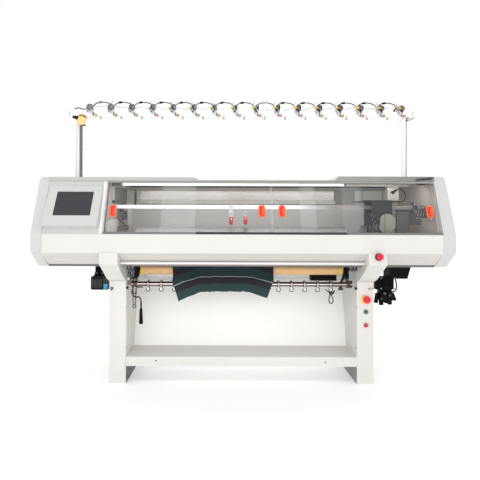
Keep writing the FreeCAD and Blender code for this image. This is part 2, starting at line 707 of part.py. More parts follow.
def cam_top(y):
    """Height of the front cam box's top face."""
    return bed_slope(y) + (CAM_CLEAR + CAM_THICK) * math.sqrt(2)


def carriage_bridge():
    """Legs that stand on both cam boxes and the plate that ties them over the yarn rails."""
    inner = THROAT_Y - BRIDGE_AWAY
    outer = inner - BRIDGE_LEG_THICK
    under = BRIDGE_TOP - BRIDGE_PLATE
    middle = CARRIAGE_X + BRIDGE_SHIFT
    x0, x1 = middle - BRIDGE_LEG / 2, middle + BRIDGE_LEG / 2
    leg_outline = [(outer, cam_top(outer)), (inner, cam_top(inner)), (inner, under + 1), (outer, under + 1)]
    front = along_x(leg_outline, x0, x1)
    rear = mirrored(front, y=THROAT_Y)
    plate = block(CARRIAGE_X - BRIDGE_PLATE_LEFT, CARRIAGE_X + BRIDGE_PLATE_RIGHT, outer - 10,
                  2 * THROAT_Y - outer + 10, under, BRIDGE_TOP)
    return fused(plate, front, rear)


def carriage_covers():
    """Upright covers with fully rounded ends, one on each bridge leg."""
    back = THROAT_Y - BRIDGE_AWAY - BRIDGE_LEG_THICK
    radius = OVAL_WIDTH / 2
    middle = block(OVAL_X - radius, OVAL_X + radius, back - OVAL_THICK, back, OVAL_LOW + radius,
                   OVAL_HIGH - radius)
    caps = [rod(V(OVAL_X, back - OVAL_THICK, z), V(OVAL_X, back, z), radius)
            for z in (OVAL_LOW + radius, OVAL_HIGH - radius)]
    front = rounded(fused(middle, *caps), 4.0,
                    lambda edge: edge.BoundBox.YMax < back - OVAL_THICK + 0.01)
    return [front, mirrored(front, y=THROAT_Y)]


# ---- yarn rails and feeders ------------------------------------------------------------------
def yarn_rails():
    """Two flat bars that the feeders run on, each with a groove along both faces."""
    rails = []
    middle = YARN_RAIL_Z + YARN_RAIL_HEIGHT / 2
    for y in (FRONT_YARN_RAIL, REAR_YARN_RAIL):
        half = YARN_RAIL_THICK / 2
        bar = block(WALL_LEFT + INNER_WALL, WALL_RIGHT - INNER_WALL, y - half, y + half,
                    YARN_RAIL_Z, YARN_RAIL_Z + YARN_RAIL_HEIGHT)
        for side in (-1, 1):
            face = y + side * half
            bar = bar.cut(block(WALL_LEFT, WALL_RIGHT, face - YARN_GROOVE, face + YARN_GROOVE,
                                middle - YARN_GROOVE, middle + YARN_GROOVE))
        rails.append(bar)
    return rails


def feeder(x, rail_y, side, nose_y, nose_z):
    """A yarn feeder: a clip over one face of a rail, a coloured block and a thin nose."""
    half = FEEDER_WIDTH / 2
    face = rail_y + side * YARN_RAIL_THICK / 2
    near, far = face + side * RUN, face + side * (RUN + FEEDER_PLATE)
    top = YARN_RAIL_Z + YARN_RAIL_HEIGHT + RUN
    toe_top = YARN_RAIL_Z - FEEDER_DROP
    plate = block(x - half, x + half, min(near, far), max(near, far), toe_top - 2, top + FEEDER_CLIP)
    lip = rail_y + side * GAP / 2
    clip = block(x - half, x + half, min(lip, far), max(lip, far), top, top + FEEDER_CLIP)
    centre = (near + far) / 2
    toe = block(x - half, x + half, centre - FEEDER_TOE / 2, centre + FEEDER_TOE / 2, nose_z + 14, toe_top)
    nose = rod(V(x, centre, nose_z + 16), V(x, nose_y, nose_z), FEEDER_NOSE_R)
    return fused(plate, clip, toe, nose)


def yarn_clamp():
    """Rack on the right inner wall that holds the yarn ends: a bar, blocks and hooks."""
    x1 = WALL_RIGHT - INNER_WALL
    x0 = x1 - CLAMP_LENGTH
    y0 = FRAME_FRONT + CLAMP_BLOCK
    low = YARN_RAIL_Z - CLAMP_DROP
    high = low + CLAMP_BAR
    half = CLAMP_BLOCK / 2
    solids = [block(x0, x1, y0, y0 + CLAMP_BLOCK, low, high)]
    for i in range(CLAMP_HOOKS):
        x = x0 + CLAMP_BLOCK + i * CLAMP_PITCH
        solids.append(block(x - half, x + half, y0 - CLAMP_BLOCK, y0 + 1, low - 2, high + 10))
        solids.append(rod(V(x, y0 + half, high - 1), V(x, y0 + half, high + 29), CLAMP_HOOK_R))
        solids.append(rod(V(x, y0 - half, low - 1), V(x, y0 - half, low - 50), CLAMP_HOOK_R))
    return fused(*solids)


# ---- belt drive ------------------------------------------------------------------------------
def ring_band(radius):
    """Outline solid of the belt's loop at a radius around the pulleys."""
    y0, y1 = BELT_Y - BELT_WIDTH / 2, BELT_Y + BELT_WIDTH / 2
    middle = block(IDLER_PULLEY_X, DRIVE_PULLEY_X, y0, y1, BELT_Z - radius, BELT_Z + radius)
    ends = [rod(V(x, y0, BELT_Z), V(x, y1, BELT_Z), radius) for x in (IDLER_PULLEY_X, DRIVE_PULLEY_X)]
    return fused(middle, *ends)


def drive_belt():
    return ring_band(PULLEY_R + RUN + BELT_THICK).cut(ring_band(PULLEY_R + RUN))


def pulley(x):
    """A belt pulley with its shaft, which runs in the fork behind it."""
    y0, y1 = BELT_Y - BELT_WIDTH / 2, BELT_Y + BELT_WIDTH / 2
    wheel = rod(V(x, y0, BELT_Z), V(x, y1, BELT_Z), PULLEY_R)
    away = (PULLEY_R + PULLEY_SHAFT_R) / 2 + 0.5
    for i in range(PULLEY_HOLES):
        angle = 2 * math.pi * i / PULLEY_HOLES
        hole = V(x + away * math.cos(angle), y0 - PAST, BELT_Z + away * math.sin(angle))
        wheel = wheel.cut(rod(hole, hole + V(0, BELT_WIDTH + 2 * PAST, 0), PULLEY_HOLE_R))
    shaft = rod(V(x, y0 - 4, BELT_Z), V(x, y1 + FORK_GAP + FORK_THICK + 4, BELT_Z), PULLEY_SHAFT_R)
    return fused(wheel, shaft)


# ---- covers ----------------------------------------------------------------------------------
def front_beam():
    """Folded panel under the doors, with a lip at its top and bottom."""
    outline = [(0, BEAM_LOW), (BEAM_LIP, BEAM_LOW), (BEAM_LIP, BEAM_LOW + SHEET), (SHEET, BEAM_LOW + SHEET),
               (SHEET, BEAM_TOP - SHEET), (BEAM_LIP, BEAM_TOP - SHEET), (BEAM_LIP, BEAM_TOP), (0, BEAM_TOP)]
    return along_x(outline, SIDE_LEFT, SIDE_RIGHT)


def lower_covers():
    """Three grooved covers that slope back under the beam, between and outside the necks."""
    length = math.hypot(COVER_RUN, COVER_DROP)
    along = (COVER_RUN / length, -COVER_DROP / length)
    inward = (COVER_DROP / length, COVER_RUN / length)

    def at(distance, depth):
        return (along[0] * distance + inward[0] * depth + SHEET, BEAM_LOW + along[1] * distance
                + inward[1] * depth - SHEET)

    outline = [at(0, 0)]
    for mark in (0.28, 0.52, 0.72, 0.9):
        middle = mark * length
        outline += [at(middle - 3, 0), at(middle - 1, GROOVE), at(middle + 1, GROOVE), at(middle + 3, 0)]
    foot = at(length - 8, 0)
    outline += [foot, (FRAME_FRONT - GAP, foot[1]), (FRAME_FRONT - GAP, foot[1] + SHEET)]
    outline += [at(length - 10, 2 * SHEET), at(10, 2 * SHEET)]
    outline += [(BEAM_LIP - 14, BEAM_LOW - SHEET), (BEAM_LIP - 14, BEAM_LOW), (SHEET, BEAM_LOW)]
    spans = ((SIDE_LEFT, -LEG_OUTER), (-LEG_INNER, LEG_INNER), (LEG_OUTER, SIDE_RIGHT))
    return [along_x(outline, x0, x1) for x0, x1 in spans]


def operating_bar():
    """Start bar under the beam, with a pin at each end in the necks."""
    bar = rod_x(-LEG_INNER + GAP, LEG_INNER - GAP, BAR_Y, BAR_Z, BAR_R)
    pins = rod_x(-LEG_INNER - BAR_PIN, LEG_INNER + BAR_PIN, BAR_Y, BAR_Z, BAR_PIN_R)
    return fused(bar, pins)


def left_cover():
    """Leaning cover over the control bay."""
    sheet = slope_plate(BEAM_TOP, HOOD_BOTTOM, -SHEET, 0, SIDE_LEFT, WINDOW_LEFT)
    jamb = slope_plate(BEAM_TOP, HOOD_BOTTOM, -JAMB_DEPTH, -SHEET, WINDOW_LEFT - SHEET, WINDOW_LEFT)
    return fused(sheet, jamb)


def display_plane(z):
    """Y of the display's front face at a height."""
    low = on_slope(SCREEN_LOW, 0)[0] - DISPLAY_AHEAD
    return low + (z - SCREEN_LOW) * math.tan(math.radians(DISPLAY_TILT))


def display_bezel():
    """Raised display housing with the recess that the screen sits in."""
    chin = DISPLAY_LOW + DISPLAY_CHIN
    brow = DISPLAY_HIGH - DISPLAY_BROW
    outline = [on_slope(DISPLAY_LOW, 0), (display_plane(chin), chin), (display_plane(brow), brow),
               on_slope(DISPLAY_HIGH, 0)]
    body = along_x(outline, DISPLAY_LEFT, DISPLAY_RIGHT)
    frame = block(DISPLAY_LEFT, DISPLAY_RIGHT, -100, 200, DISPLAY_LOW, DISPLAY_HIGH)
    frame = rounded(frame, DISPLAY_ROUND, lambda edge: runs_along(edge, V(0, 1, 0)))
    return body.common(frame).cut(screen_block(SCREEN_GAP, SCREEN_DEPTH, DISPLAY_AHEAD))


def screen_block(margin, depth, ahead):
    """A slab in the display's plane: depth behind its face and ahead in front of it."""
    tilt = math.radians(DISPLAY_TILT)
    low = display_plane(SCREEN_LOW)
    slab = block(SCREEN_LEFT - margin, SCREEN_LEFT + SCREEN_WIDTH + margin, low - ahead, low + depth,
                 SCREEN_LOW - margin, SCREEN_LOW + SCREEN_HEIGHT + margin)
    return turned(slab, V(0, low, SCREEN_LOW), V(1, 0, 0), -math.degrees(tilt))


def display_screen():
    return screen_block(0.0, SCREEN_DEPTH, SCREEN_THICK - SCREEN_DEPTH)


def end_cap(x0, x1, top):
    """Thick side cover with the whole profile of the body and rounded outer edges."""
    low_y = FRAME_FRONT - 20
    outline = [(-CAP_PROUD, BEAM_LOW + 6), on_slope(BEAM_TOP, CAP_PROUD + 2),
               on_slope(top - 26, CAP_PROUD), (HOOD_FRONT + 36, top), (REAR_Y - 24, top),
               (REAR_Y, top - 24), (REAR_Y, LEG_HEIGHT + 10), (REAR_Y - 10, LEG_HEIGHT),
               (low_y + 30, LEG_HEIGHT), (low_y, LEG_HEIGHT + 8)]
    body = along_x(outline, x0, x1)
    outer = x1 if abs(x1) > abs(x0) else x0

    def on_outer_face(edge):
        box = edge.BoundBox
        return abs(box.XMin - outer) < 0.01 and abs(box.XMax - outer) < 0.01

    return rounded(body, CAP_ROUND, on_outer_face)


def hood():
    """Top cover with a shallow notch along its middle."""
    outline = [(SIDE_LEFT, HOOD_BOTTOM), (SIDE_LEFT, HOOD_LEFT_TOP),
               (NOTCH_LEFT - NOTCH_SLANT, HOOD_LEFT_TOP), (NOTCH_LEFT, HOOD_NOTCH_TOP),
               (NOTCH_RIGHT, HOOD_NOTCH_TOP),
               (NOTCH_RIGHT + NOTCH_SLANT, HOOD_RIGHT_TOP), (SIDE_RIGHT, HOOD_RIGHT_TOP),
               (SIDE_RIGHT, HOOD_BOTTOM)]
    body = along_y(outline, HOOD_FRONT, REAR_Y)
    return rounded(body, 5.0, lambda edge: edge.BoundBox.YMax < HOOD_FRONT + 0.01
                   and edge.BoundBox.ZMin > HOOD_BOTTOM + 0.01)


def rear_cover():
    """Back sheet with a long window and folded ends."""
    sheet = block(SIDE_LEFT, SIDE_RIGHT, REAR_Y - SHEET, REAR_Y, LEG_HEIGHT, HOOD_BOTTOM)
    window = block(REAR_WINDOW_LEFT, REAR_WINDOW_RIGHT, REAR_Y - 2 * SHEET, REAR_Y + PAST,
                   REAR_WINDOW_LOW, REAR_WINDOW_HIGH)
    return sheet.cut(window)


def inner_walls():
    """Walls at both ends of the knitting space."""
    front = BEAM_LIP + GAP
    foot = BEAM_LOW + SHEET + 2 * GAP
    behind = -(DOOR_SPACING + DOOR_THICK + TRACK_PLAY + TRACK_FIN + 7)
    outline = [(FRAME_FRONT + GAP, FRAME_TOP), (FRAME_FRONT + GAP, foot), (front, foot), (front, BEAM_TOP),
               on_slope(BEAM_TOP + 40, behind), on_slope(HOOD_BOTTOM, behind), (REAR_Y - SHEET, HOOD_BOTTOM),
               (REAR_Y - SHEET, FRAME_TOP)]
    return [along_x(outline, x, x + INNER_WALL) for x in (WALL_LEFT, WALL_RIGHT - INNER_WALL)]


def light_bar():
    """Tube light under the hood, held by small blocks."""
    y = HOOD_FRONT + LIGHT_BEHIND
    z = HOOD_BOTTOM - LIGHT_DROP
    x0, x1 = WINDOW_LEFT + LIGHT_LEFT, SIDE_RIGHT - LIGHT_RIGHT
    half = LIGHT_CLIP / 2
    solids = [rod_x(x0, x1, y, z, LIGHT_R)]
    for x in (x0 + 50, (x0 + x1) / 2, x1 - 50):
        solids.append(block(x - half, x + half, y - half / 2, y + half / 2, z, HOOD_BOTTOM))
    return fused(*solids)


# ---- sliding doors ---------------------------------------------------------------------------
def door(x0, outer_face):
    """A clear sheet; its edges run in the tracks."""
    low = BEAM_TOP + TRACK_BASE + 1
    high = HOOD_BOTTOM - TRACK_BASE - 1
    return slope_plate(low, high, outer_face - DOOR_THICK, outer_face, x0, x0 + DOOR_LENGTH)


def door_pulls(centres, outer_face):
    """Moulded pulls with a finger recess."""
    pulls = []
    for x in centres:
        low, high = PULL_Z - PULL_HEIGHT / 2, PULL_Z + PULL_HEIGHT / 2
        body = slope_plate(low, high, outer_face, outer_face + PULL_THICK, x - PULL_WIDTH / 2,
                           x + PULL_WIDTH / 2)
        recess = slope_plate(low + PULL_END, high - PULL_END, outer_face + PULL_FLOOR,
                             outer_face + PULL_THICK + PAST, x - PULL_WIDTH / 2 + PULL_RIM,
                             x + PULL_WIDTH / 2 - PULL_RIM)
        pulls.append(body.cut(recess))
    return pulls


def door_tracks():
    """Bottom and top tracks: a base with a fin beside each face of each door."""
    outside = TRACK_PLAY + TRACK_FIN
    inside = -DOOR_SPACING - DOOR_THICK - outside
    middle = -DOOR_THICK - (DOOR_SPACING - DOOR_THICK) / 2
    fins = ((TRACK_PLAY, outside), (middle - TRACK_FIN / 2, middle + TRACK_FIN / 2),
            (inside, inside + TRACK_FIN))
    tracks = []
    x0, x1 = WINDOW_LEFT + GAP, SIDE_RIGHT
    for base, tip in ((BEAM_TOP, BEAM_TOP + TRACK_BASE + TRACK_LIP),
                      (HOOD_BOTTOM, HOOD_BOTTOM - TRACK_BASE - TRACK_LIP)):
        inner = base + math.copysign(TRACK_BASE, tip - base)
        low, high = min(base, inner), max(base, inner)
        slab = slope_plate(low, high, inside, outside, x0, x1)
        parts = [slope_plate(min(base, tip), max(base, tip), a, b, x0, x1) for a, b in fins]
        tracks.append(fused(slab, *parts))
    return tracks


# ---- take-down -------------------------------------------------------------------------------
def takedown_roller():
    drum = rod_x(-ROLLER_HALF, ROLLER_HALF, ROLLER_Y, ROLLER_Z, ROLLER_R)
    journal_end = ROLLER_HALF + BRACKET_GAP + BRACKET_THICK + 4
    return fused(drum, rod_x(-journal_end, journal_end, ROLLER_Y, ROLLER_Z, JOURNAL_R))


def roller_brackets():
    """Plates under the bed frame that carry the roller and the press shaft."""
    x0 = ROLLER_HALF + BRACKET_GAP
    x1 = x0 + BRACKET_THICK
    front = SHAFT_Y - BRACKET_RIM
    back = ROLLER_Y + JOURNAL_R + 20
    outline = [(front, SHAFT_Z - BRACKET_RIM), (SHAFT_Y + SHAFT_R + 5, SHAFT_Z - BRACKET_RIM),
               (back, ROLLER_Z - JOURNAL_R - 10), (back, LEG_HEIGHT), (front, LEG_HEIGHT)]
    bridge = block(x0, LEG_INNER, SHAFT_Y - 10, SHAFT_Y, LEG_HEIGHT - 40, LEG_HEIGHT)
    plate = fused(along_x(outline, x0, x1), bridge)
    plate = plate.cut(rod_x(x0 - PAST, x1 + PAST, ROLLER_Y, ROLLER_Z, JOURNAL_R + RUN))
    plate = plate.cut(rod_x(x0 - PAST, x1 + PAST, SHAFT_Y, SHAFT_Z, SHAFT_R + RUN))
    return [plate, mirrored(plate, x=0)]


def press_shaft():
    return rod_x(-SHAFT_HALF, SHAFT_HALF, SHAFT_Y, SHAFT_Z, SHAFT_R)


def press_levers():
    """Collars on the press shaft, each with a small screw and an open hook below."""
    levers = []
    centre = V(0, SHAFT_Y, SHAFT_Z)
    drop = COLLAR_R + HOOK_R + HOOK_GAP
    for i in range(LEVER_COUNT):
        x = LEVER_FIRST + i * LEVER_PITCH
        half = COLLAR_WIDTH / 2
        collar = rod_x(x - half, x + half, SHAFT_Y, SHAFT_Z, COLLAR_R)
        screw = rod(V(x, SHAFT_Y, SHAFT_Z + COLLAR_R - 3), V(x, SHAFT_Y, SHAFT_Z + COLLAR_R + NUB_LENGTH),
                    NUB_R)
        screw = turned(screw, centre, V(1, 0, 0), -NUB_TILT)
        hook_z = SHAFT_Z - drop
        y0, y1 = SHAFT_Y - HOOK_WIRE / 2, SHAFT_Y + HOOK_WIRE / 2
        hook = rod(V(x, y0, hook_z), V(x, y1, hook_z), HOOK_R)
        left = x - HOOK_STEM / 2 + 1
        hook = hook.cut(rod(V(x, y0 - PAST, hook_z), V(x, y1 + PAST, hook_z), HOOK_R - HOOK_WIRE))
        hook = hook.cut(block(x - HOOK_R - PAST, left, y0 - PAST, y1 + PAST, hook_z + 2, hook_z + HOOK_R))
        stem = block(left, left + HOOK_STEM, y0, y1, hook_z + HOOK_R - HOOK_WIRE, SHAFT_Z - SHAFT_R - 2)
        lever = fused(collar, screw, hook, stem)
        levers.append(lever.cut(rod_x(x - half - PAST, x + half + PAST, SHAFT_Y, SHAFT_Z, SHAFT_R)))
    return levers


def crank():
    """Hand crank on the shaft's left end: a hub, a twice bent rod and a tapered grip."""
    x0 = CRANK_X - 10
    x1 = x0 + CRANK_HUB
    hub = rod_x(x0, x1, SHAFT_Y, SHAFT_Z, CRANK_HUB_R)
    hub = hub.cut(rod_x(x0 - PAST, x1 + PAST, SHAFT_Y, SHAFT_Z, SHAFT_R))
    knee = SHAFT_Z - CRANK_DROP
    side_x = CRANK_X + CRANK_SIDE
    grip_top = SHAFT_Z - CRANK_REACH
    bent = tube([V(CRANK_X, SHAFT_Y, SHAFT_Z - SHAFT_R - 2), V(CRANK_X, SHAFT_Y, knee),
                 V(side_x, SHAFT_Y, knee), V(side_x, SHAFT_Y, grip_top - 4)], CRANK_ROD)
    grip = Part.makeCone(GRIP_LOW_R, GRIP_TOP_R, GRIP_LENGTH, V(side_x, SHAFT_Y, grip_top - GRIP_LENGTH))
    return fused(hub, bent, grip)


def guide_plate():
    """Fabric guide sheet behind the roller, hung from the bed frame."""
    return block(GUIDE_INSET - ROLLER_HALF, MOTOR_LEFT - MOTOR_GAP, GUIDE_Y, GUIDE_Y + SHEET,
                 LEG_HEIGHT - GUIDE_DROP, LEG_HEIGHT)


def takedown_motor():
    """Motor of the take-down, with the plate that it hangs from."""
    right = MOTOR_LEFT + MOTOR_WIDTH
    high = LEG_HEIGHT - MOTOR_DROP
    body = block(MOTOR_LEFT, right, GUIDE_Y, GUIDE_Y + MOTOR_DEPTH, high - MOTOR_HEIGHT, high)
    body = rounded(body, MOTOR_ROUND, lambda edge: runs_along(edge, V(1, 0, 0)))
    hanger = GUIDE_Y + HANGER_INSET
    plate = block(MOTOR_LEFT + HANGER_INSET, right - HANGER_INSET, hanger, hanger + HANGER_THICK, high - 1,
                  LEG_HEIGHT)
    return fused(body, plate)


# ---- knitted cloth ---------------------------------------------------------------------------
def cloth_section(x, fold):
    """The cloth's closed outline at x: down from the throat, past the roller and the shaft."""
    roller_front = ROLLER_Y - ROLLER_R - CLOTH_GAP
    shaft_front = SHAFT_Y - COLLAR_R - CLOTH_GAP - 3
    throat = THROAT_Y - THROAT / 2 + RUN + CLOTH_THICK
    top = BED_APEX - CLOTH_TUCK
    hang = shaft_front - CLOTH_FOLD
    rear = [(throat, top), (throat, top - CLOTH_NECK), (roller_front, ROLLER_Z + 30),
            (roller_front, ROLLER_Z - 6), (shaft_front, SHAFT_Z), (hang + fold, SHAFT_Z - 60),
            (hang + 2 * fold, SHAFT_Z - CLOTH_TAIL)]
    front = [(y - CLOTH_THICK, z) for y, z in reversed(rear)]
    corners = [V(x, y, z) for y, z in rear + front]
    return Part.makePolygon(corners + corners[:1])


def knitted_cloth():
    """Striped fabric that hangs in front of the roller: its folds, its side edges and its arched hem."""
    step = (CLOTH_RIGHT - CLOTH_LEFT) / (CLOTH_FOLDS - 1)
    sections = [cloth_section(CLOTH_LEFT + i * step, CLOTH_FOLD * math.cos(2.1 * i))
                for i in range(CLOTH_FOLDS)]
    sheet = Part.makeLoft(sections, True, True)
    shoulder = LEG_HEIGHT - 6
    hem = [(CLOTH_LEFT, BED_APEX), (CLOTH_LEFT, shoulder)]
    hem += [(x, LEG_HEIGHT - drop) for x, drop in CLOTH_EDGE]
    hem += [(CLOTH_RIGHT, shoulder), (CLOTH_RIGHT, BED_APEX)]
    return sheet.common(along_y(hem, 0, REAR_Y))


# ---- controls --------------------------------------------------------------------------------
def stop_cap(radius, x, face_y, z):
    """Mushroom cap with its stem, which slides in the base; it presses towards +Y."""
    front = face_y - STOP_FACE - CAP_DEPTH
    cap = rod(V(x, front, z), V(x, front + CAP_DEPTH, z), radius)
    cap = rounded(cap, CAP_EDGE, lambda edge: edge.BoundBox.YMax < front + 0.01)
    stem = rod(V(x, front + CAP_DEPTH, z), V(x, front + CAP_DEPTH + STEM_LENGTH, z), STEM_R)
    return fused(cap, stem)


def stop_base(x, face_y, z):
    """Ring that the cap's stem slides in."""
    ring = rod(V(x, face_y - BASE_DEPTH, z), V(x, face_y, z), BASE_R)
    return ring.cut(rod(V(x, face_y - BASE_DEPTH - PAST, z), V(x, face_y + PAST, z), STEM_R + RUN))


def neck_face():
    """Middle and tilt of the flat face on the neck's front that carries the stop button."""
    top = (-NECK_NOSE + NECK_LEAN, BEAM_LOW)
    low = (-NECK_NOSE, COVER_LOW + NECK_CHIN)
    share = (NECK_STOP_Z - low[1]) / (top[1] - low[1])
    tilt = math.degrees(math.atan2(top[0] - low[0], top[1] - low[1]))
    return low[0] + share * (top[0] - low[0]), tilt


def on_neck(solid):
    """Tips a piece made for an upright face onto the neck's leaning face."""
    y, tilt = neck_face()
    return turned(solid, V(NECK_STOP_X, y, NECK_STOP_Z), V(1, 0, 0), -tilt)


def button(z):
    """Push button; it presses towards +Y."""
    front = LEG_FRONT - BEZEL_DEPTH - BUTTON_PROUD
    cap = rod(V(CONTROL_X, front, z), V(CONTROL_X, front + BUTTON_DEPTH, z), BUTTON_R)
    return rounded(cap, BUTTON_EDGE, lambda edge: edge.BoundBox.YMax < front + 0.01)


def control_plates():
    """Round plate, stop bases and button bezels."""
    centre = V(CONTROL_X, LEG_FRONT, LEG_STOP_Z)
    plate = rod(centre - V(0, PLATE_THICK, 0), centre, PLATE_R)
    solids = [plate, stop_base(CONTROL_X, LEG_FRONT - PLATE_THICK, LEG_STOP_Z)]
    solids.append(on_neck(stop_base(NECK_STOP_X, neck_face()[0], NECK_STOP_Z)))
    for z in (GREEN_Z, RED_Z):
        start, end = V(CONTROL_X, LEG_FRONT - BEZEL_DEPTH, z), V(CONTROL_X, LEG_FRONT, z)
        solids.append(rod(start, end, BEZEL_R).cut(rod(start, end, BUTTON_R + RUN)))
    return solids


# ---- drive motor and servo box ---------------------------------------------------------------
def from_right(inset, drop):
    """The (x, z) point that lies inset from the body's right side and drop below the legs' top."""
    return (SIDE_RIGHT - inset, LEG_HEIGHT - drop)


def drive_block(sizes, y0, y1):
    """A box of the drive unit, from its left and right insets and its lower and upper drops."""
    left, right, low, high = sizes
    (x0, z0), (x1, z1) = from_right(left, low), from_right(right, high)
    return block(x0, x1, y0, y1, z0, z1)


def drive_motor():
    """Dark drive unit under the right end: housing, mounting plate, gear head and plugs."""
    y = DRIVE_FRONT
    housing = along_y([from_right(*corner) for corner in HOUSING], y, y + DRIVE_DEPTH)
    plate = drive_block(DRIVE_PLATE, y + 20, y + 60)
    neck_block = drive_block(DRIVE_NECK, y + 30, y + 90)
    tie = drive_block(DRIVE_TIE, y + 20, y + 80)
    head_x, head_z = from_right(*HEAD_PLACE)
    head = rod(V(head_x, y + 10, head_z), V(head_x, y + 100, head_z), HEAD_R)
    plugs = []
    for radius, x_top, top, x_low, low in PLUGS:
        (x0, z0), (x1, z1) = from_right(x_top, top), from_right(x_low, low)
        plugs.append(rod(V(x0, y + 55, z0), V(x1, y + 55, z1), radius))
    return fused(housing, plate, neck_block, head, tie, *plugs)


def servo_box():
    """Dark control box under the left end, hung from the bed frame by a plate."""
    y0, y1 = SERVO_FRONT, SERVO_FRONT + SERVO_DEPTH
    left = SIDE_LEFT + SERVO_INSET
    right = left + SERVO_WIDTH
    high = LEG_HEIGHT - SERVO_DROP
    body = block(left, right, y0, y1, high - SERVO_HEIGHT, high)
    body = rounded(body, SERVO_ROUND, lambda edge: runs_along(edge, V(0, 0, 1)))
    plate = block(left + HANGER_INSET, right - HANGER_INSET, y1 - 30, y1 - 24, high - 1, LEG_HEIGHT)
    plugs = []
    for inset in SERVO_PLUG_INSETS:
        foot = V(left + inset, y0 + 35, high - 1)
        plugs.append(rod(foot, foot + V(0, 0, SERVO_PLUG + 1), SERVO_PLUG_R))
    return fused(body, plate, *plugs)


# ---- yarn stand ------------------------------------------------------------------------------
def stand_posts():
    """Posts that stand on the hood, each with a flared bracket under the top bar."""
    posts = []
    for x, foot in ((-POST_X, HOOD_LEFT_TOP), (POST_X, HOOD_RIGHT_TOP)):
        low = TOP_BAR_LOW - FLARE_HEIGHT
        post = rod(V(x, STAND_Y, foot), V(x, STAND_Y, TOP_BAR_LOW), POST_R)
        flange = rod(V(x, STAND_Y, foot), V(x, STAND_Y, foot + POST_FOOT_THICK), POST_R + POST_FOOT)
        flare = [(x - FLARE_LOW, low), (x + FLARE_LOW, low), (x + FLARE_TOP, TOP_BAR_LOW),
                 (x - FLARE_TOP, TOP_BAR_LOW)]
        bracket = along_y(flare, STAND_Y - FLARE_THICK / 2, STAND_Y + FLARE_THICK / 2)
        posts.append(fused(post, flange, bracket))
    return posts


def top_bar():
    half = TOP_BAR_DEPTH / 2
    bar = block(-TOP_BAR_HALF, TOP_BAR_HALF, STAND_Y - half, STAND_Y + half, TOP_BAR_LOW,
                TOP_BAR_TOP)
    return rounded(bar, TOP_BAR_ROUND, lambda edge: runs_along(edge, V(1, 0, 0)))


def unit_places():
    """X of each tension unit and how far it is turned, in degrees."""
    first = UNIT_SHIFT - UNIT_PITCH * (UNIT_COUNT - 1) / 2
    return [(first + i * UNIT_PITCH, UNIT_FAN[i % len(UNIT_FAN)]) for i in range(UNIT_COUNT)]


def tension_unit(yaw):
    """Clamp, body and hub pin, with turned discs on a spindle, a knob and a rear eyelet arm.

    It is made at X 0, with the bar's top at Z 0.
    """
    half = UNIT_WIDTH / 2
    high = UNIT_TOP - TOP_BAR_TOP
    clamp = block(-half, half, STAND_Y - half - 12, STAND_Y + half + 12, 0, UNIT_BASE)
    body = block(-5, 7, STAND_Y - 13, STAND_Y + 20, UNIT_BASE - 1, high)
    pin = rod_x(-HUB_SHIFT - 9, -4, HUB_Y, HUB_Z - TOP_BAR_TOP, HUB_PIN_R)
    y, z = STAND_Y - DISC_AHEAD, DISC_R + 1
    spindle = rod_x(-10, 25, y, z, SPINDLE_R)
    link = block(-3, 5, y - 4, STAND_Y, z - 4, z + 4)
    discs = [rod_x(7 + d, 7 + d + DISC_THICK, y, z, DISC_R) for d in (0, DISC_THICK + DISC_GAP)]
    knob = Part.makeCone(KNOB_R, KNOB_TIP_R, KNOB_LENGTH, V(-5, y, z), V(-1, 0, 0))
    tip = V(0, STAND_Y + EYELET_ARM, high - 6 + EYELET_RISE)
    arm = rod(V(0, STAND_Y, high - 6), tip, WIRE_R)
    eyelet = Part.makeTorus(EYELET_R, WIRE_R, tip + V(0, 0, EYELET_R), V(0, 1, 0))
    centre = V(0, STAND_Y, 0)
    swung = [turned(piece, centre, V(0, 0, 1), yaw) for piece in (spindle, link, *discs, knob, arm, eyelet)]
    return fused(clamp, body, pin, *swung)


def ball_knob(x):
    """Ball on a short stem in front of the bar."""
    face = STAND_Y - TOP_BAR_DEPTH / 2
    z = TOP_BAR_LOW + BALL_RISE
    stem = rod(V(x, face, z), V(x, face - BALL_STEM, z), SPINDLE_R)
    return fused(stem, Part.makeSphere(BALL_R, V(x, face - BALL_STEM - 0.6 * BALL_R, z)))


def tension_units():
    solids = []
    for x, yaw in unit_places():
        unit = tension_unit(yaw)
        unit.translate(V(x, 0, TOP_BAR_TOP))
        solids += [unit, ball_knob(x + BALL_SHIFT)]
    return solids


def take_up_arms():
    """Spring wires that lean forward, each from a hub that turns on its unit's pin."""
    solids = []
    for x, yaw in unit_places():
        swing = V(math.sin(math.radians(yaw)), -math.cos(math.radians(yaw)), 0)
        centre = V(x - HUB_SHIFT, HUB_Y, HUB_Z)
        x0, x1 = centre.x - HUB_WIDTH / 2, centre.x + HUB_WIDTH / 2
        hub = rod_x(x0, x1, HUB_Y, HUB_Z, TAKE_UP_HUB_R)
        start = centre + swing * (HUB_PIN_R + 1)
        elbow = centre + swing * (0.6 * TAKE_UP_ARM) + V(0, 0, TAKE_UP_RISE)
        tip = centre + swing * TAKE_UP_ARM - V(0, 0, WIRE_R)
        wires = [rod(start, elbow, WIRE_R), Part.makeSphere(WIRE_R, elbow), rod(elbow, tip, WIRE_R)]
        bore = rod_x(x0 - PAST, x1 + PAST, HUB_Y, HUB_Z, HUB_PIN_R + RUN)
        solids.append(fused(hub, *wires).cut(bore))
    return solids


def lead_points(x0, x1):
    """Route of a jumper lead: up from one unit, over and down to the next."""
    y = STAND_Y + LEAD_BEHIND
    foot = UNIT_TOP - 1
    span = x1 - x0
    rise = LEAD_RISE
    return [V(x0, y, foot), V(x0 + 0.10 * span, y, foot + 0.55 * rise), V(x0 + 0.32 * span, y, foot + rise),
            V(x0 + 0.66 * span, y, foot + 0.98 * rise), V(x0 + 0.90 * span, y, foot + 0.55 * rise),
            V(x1, y, foot)]


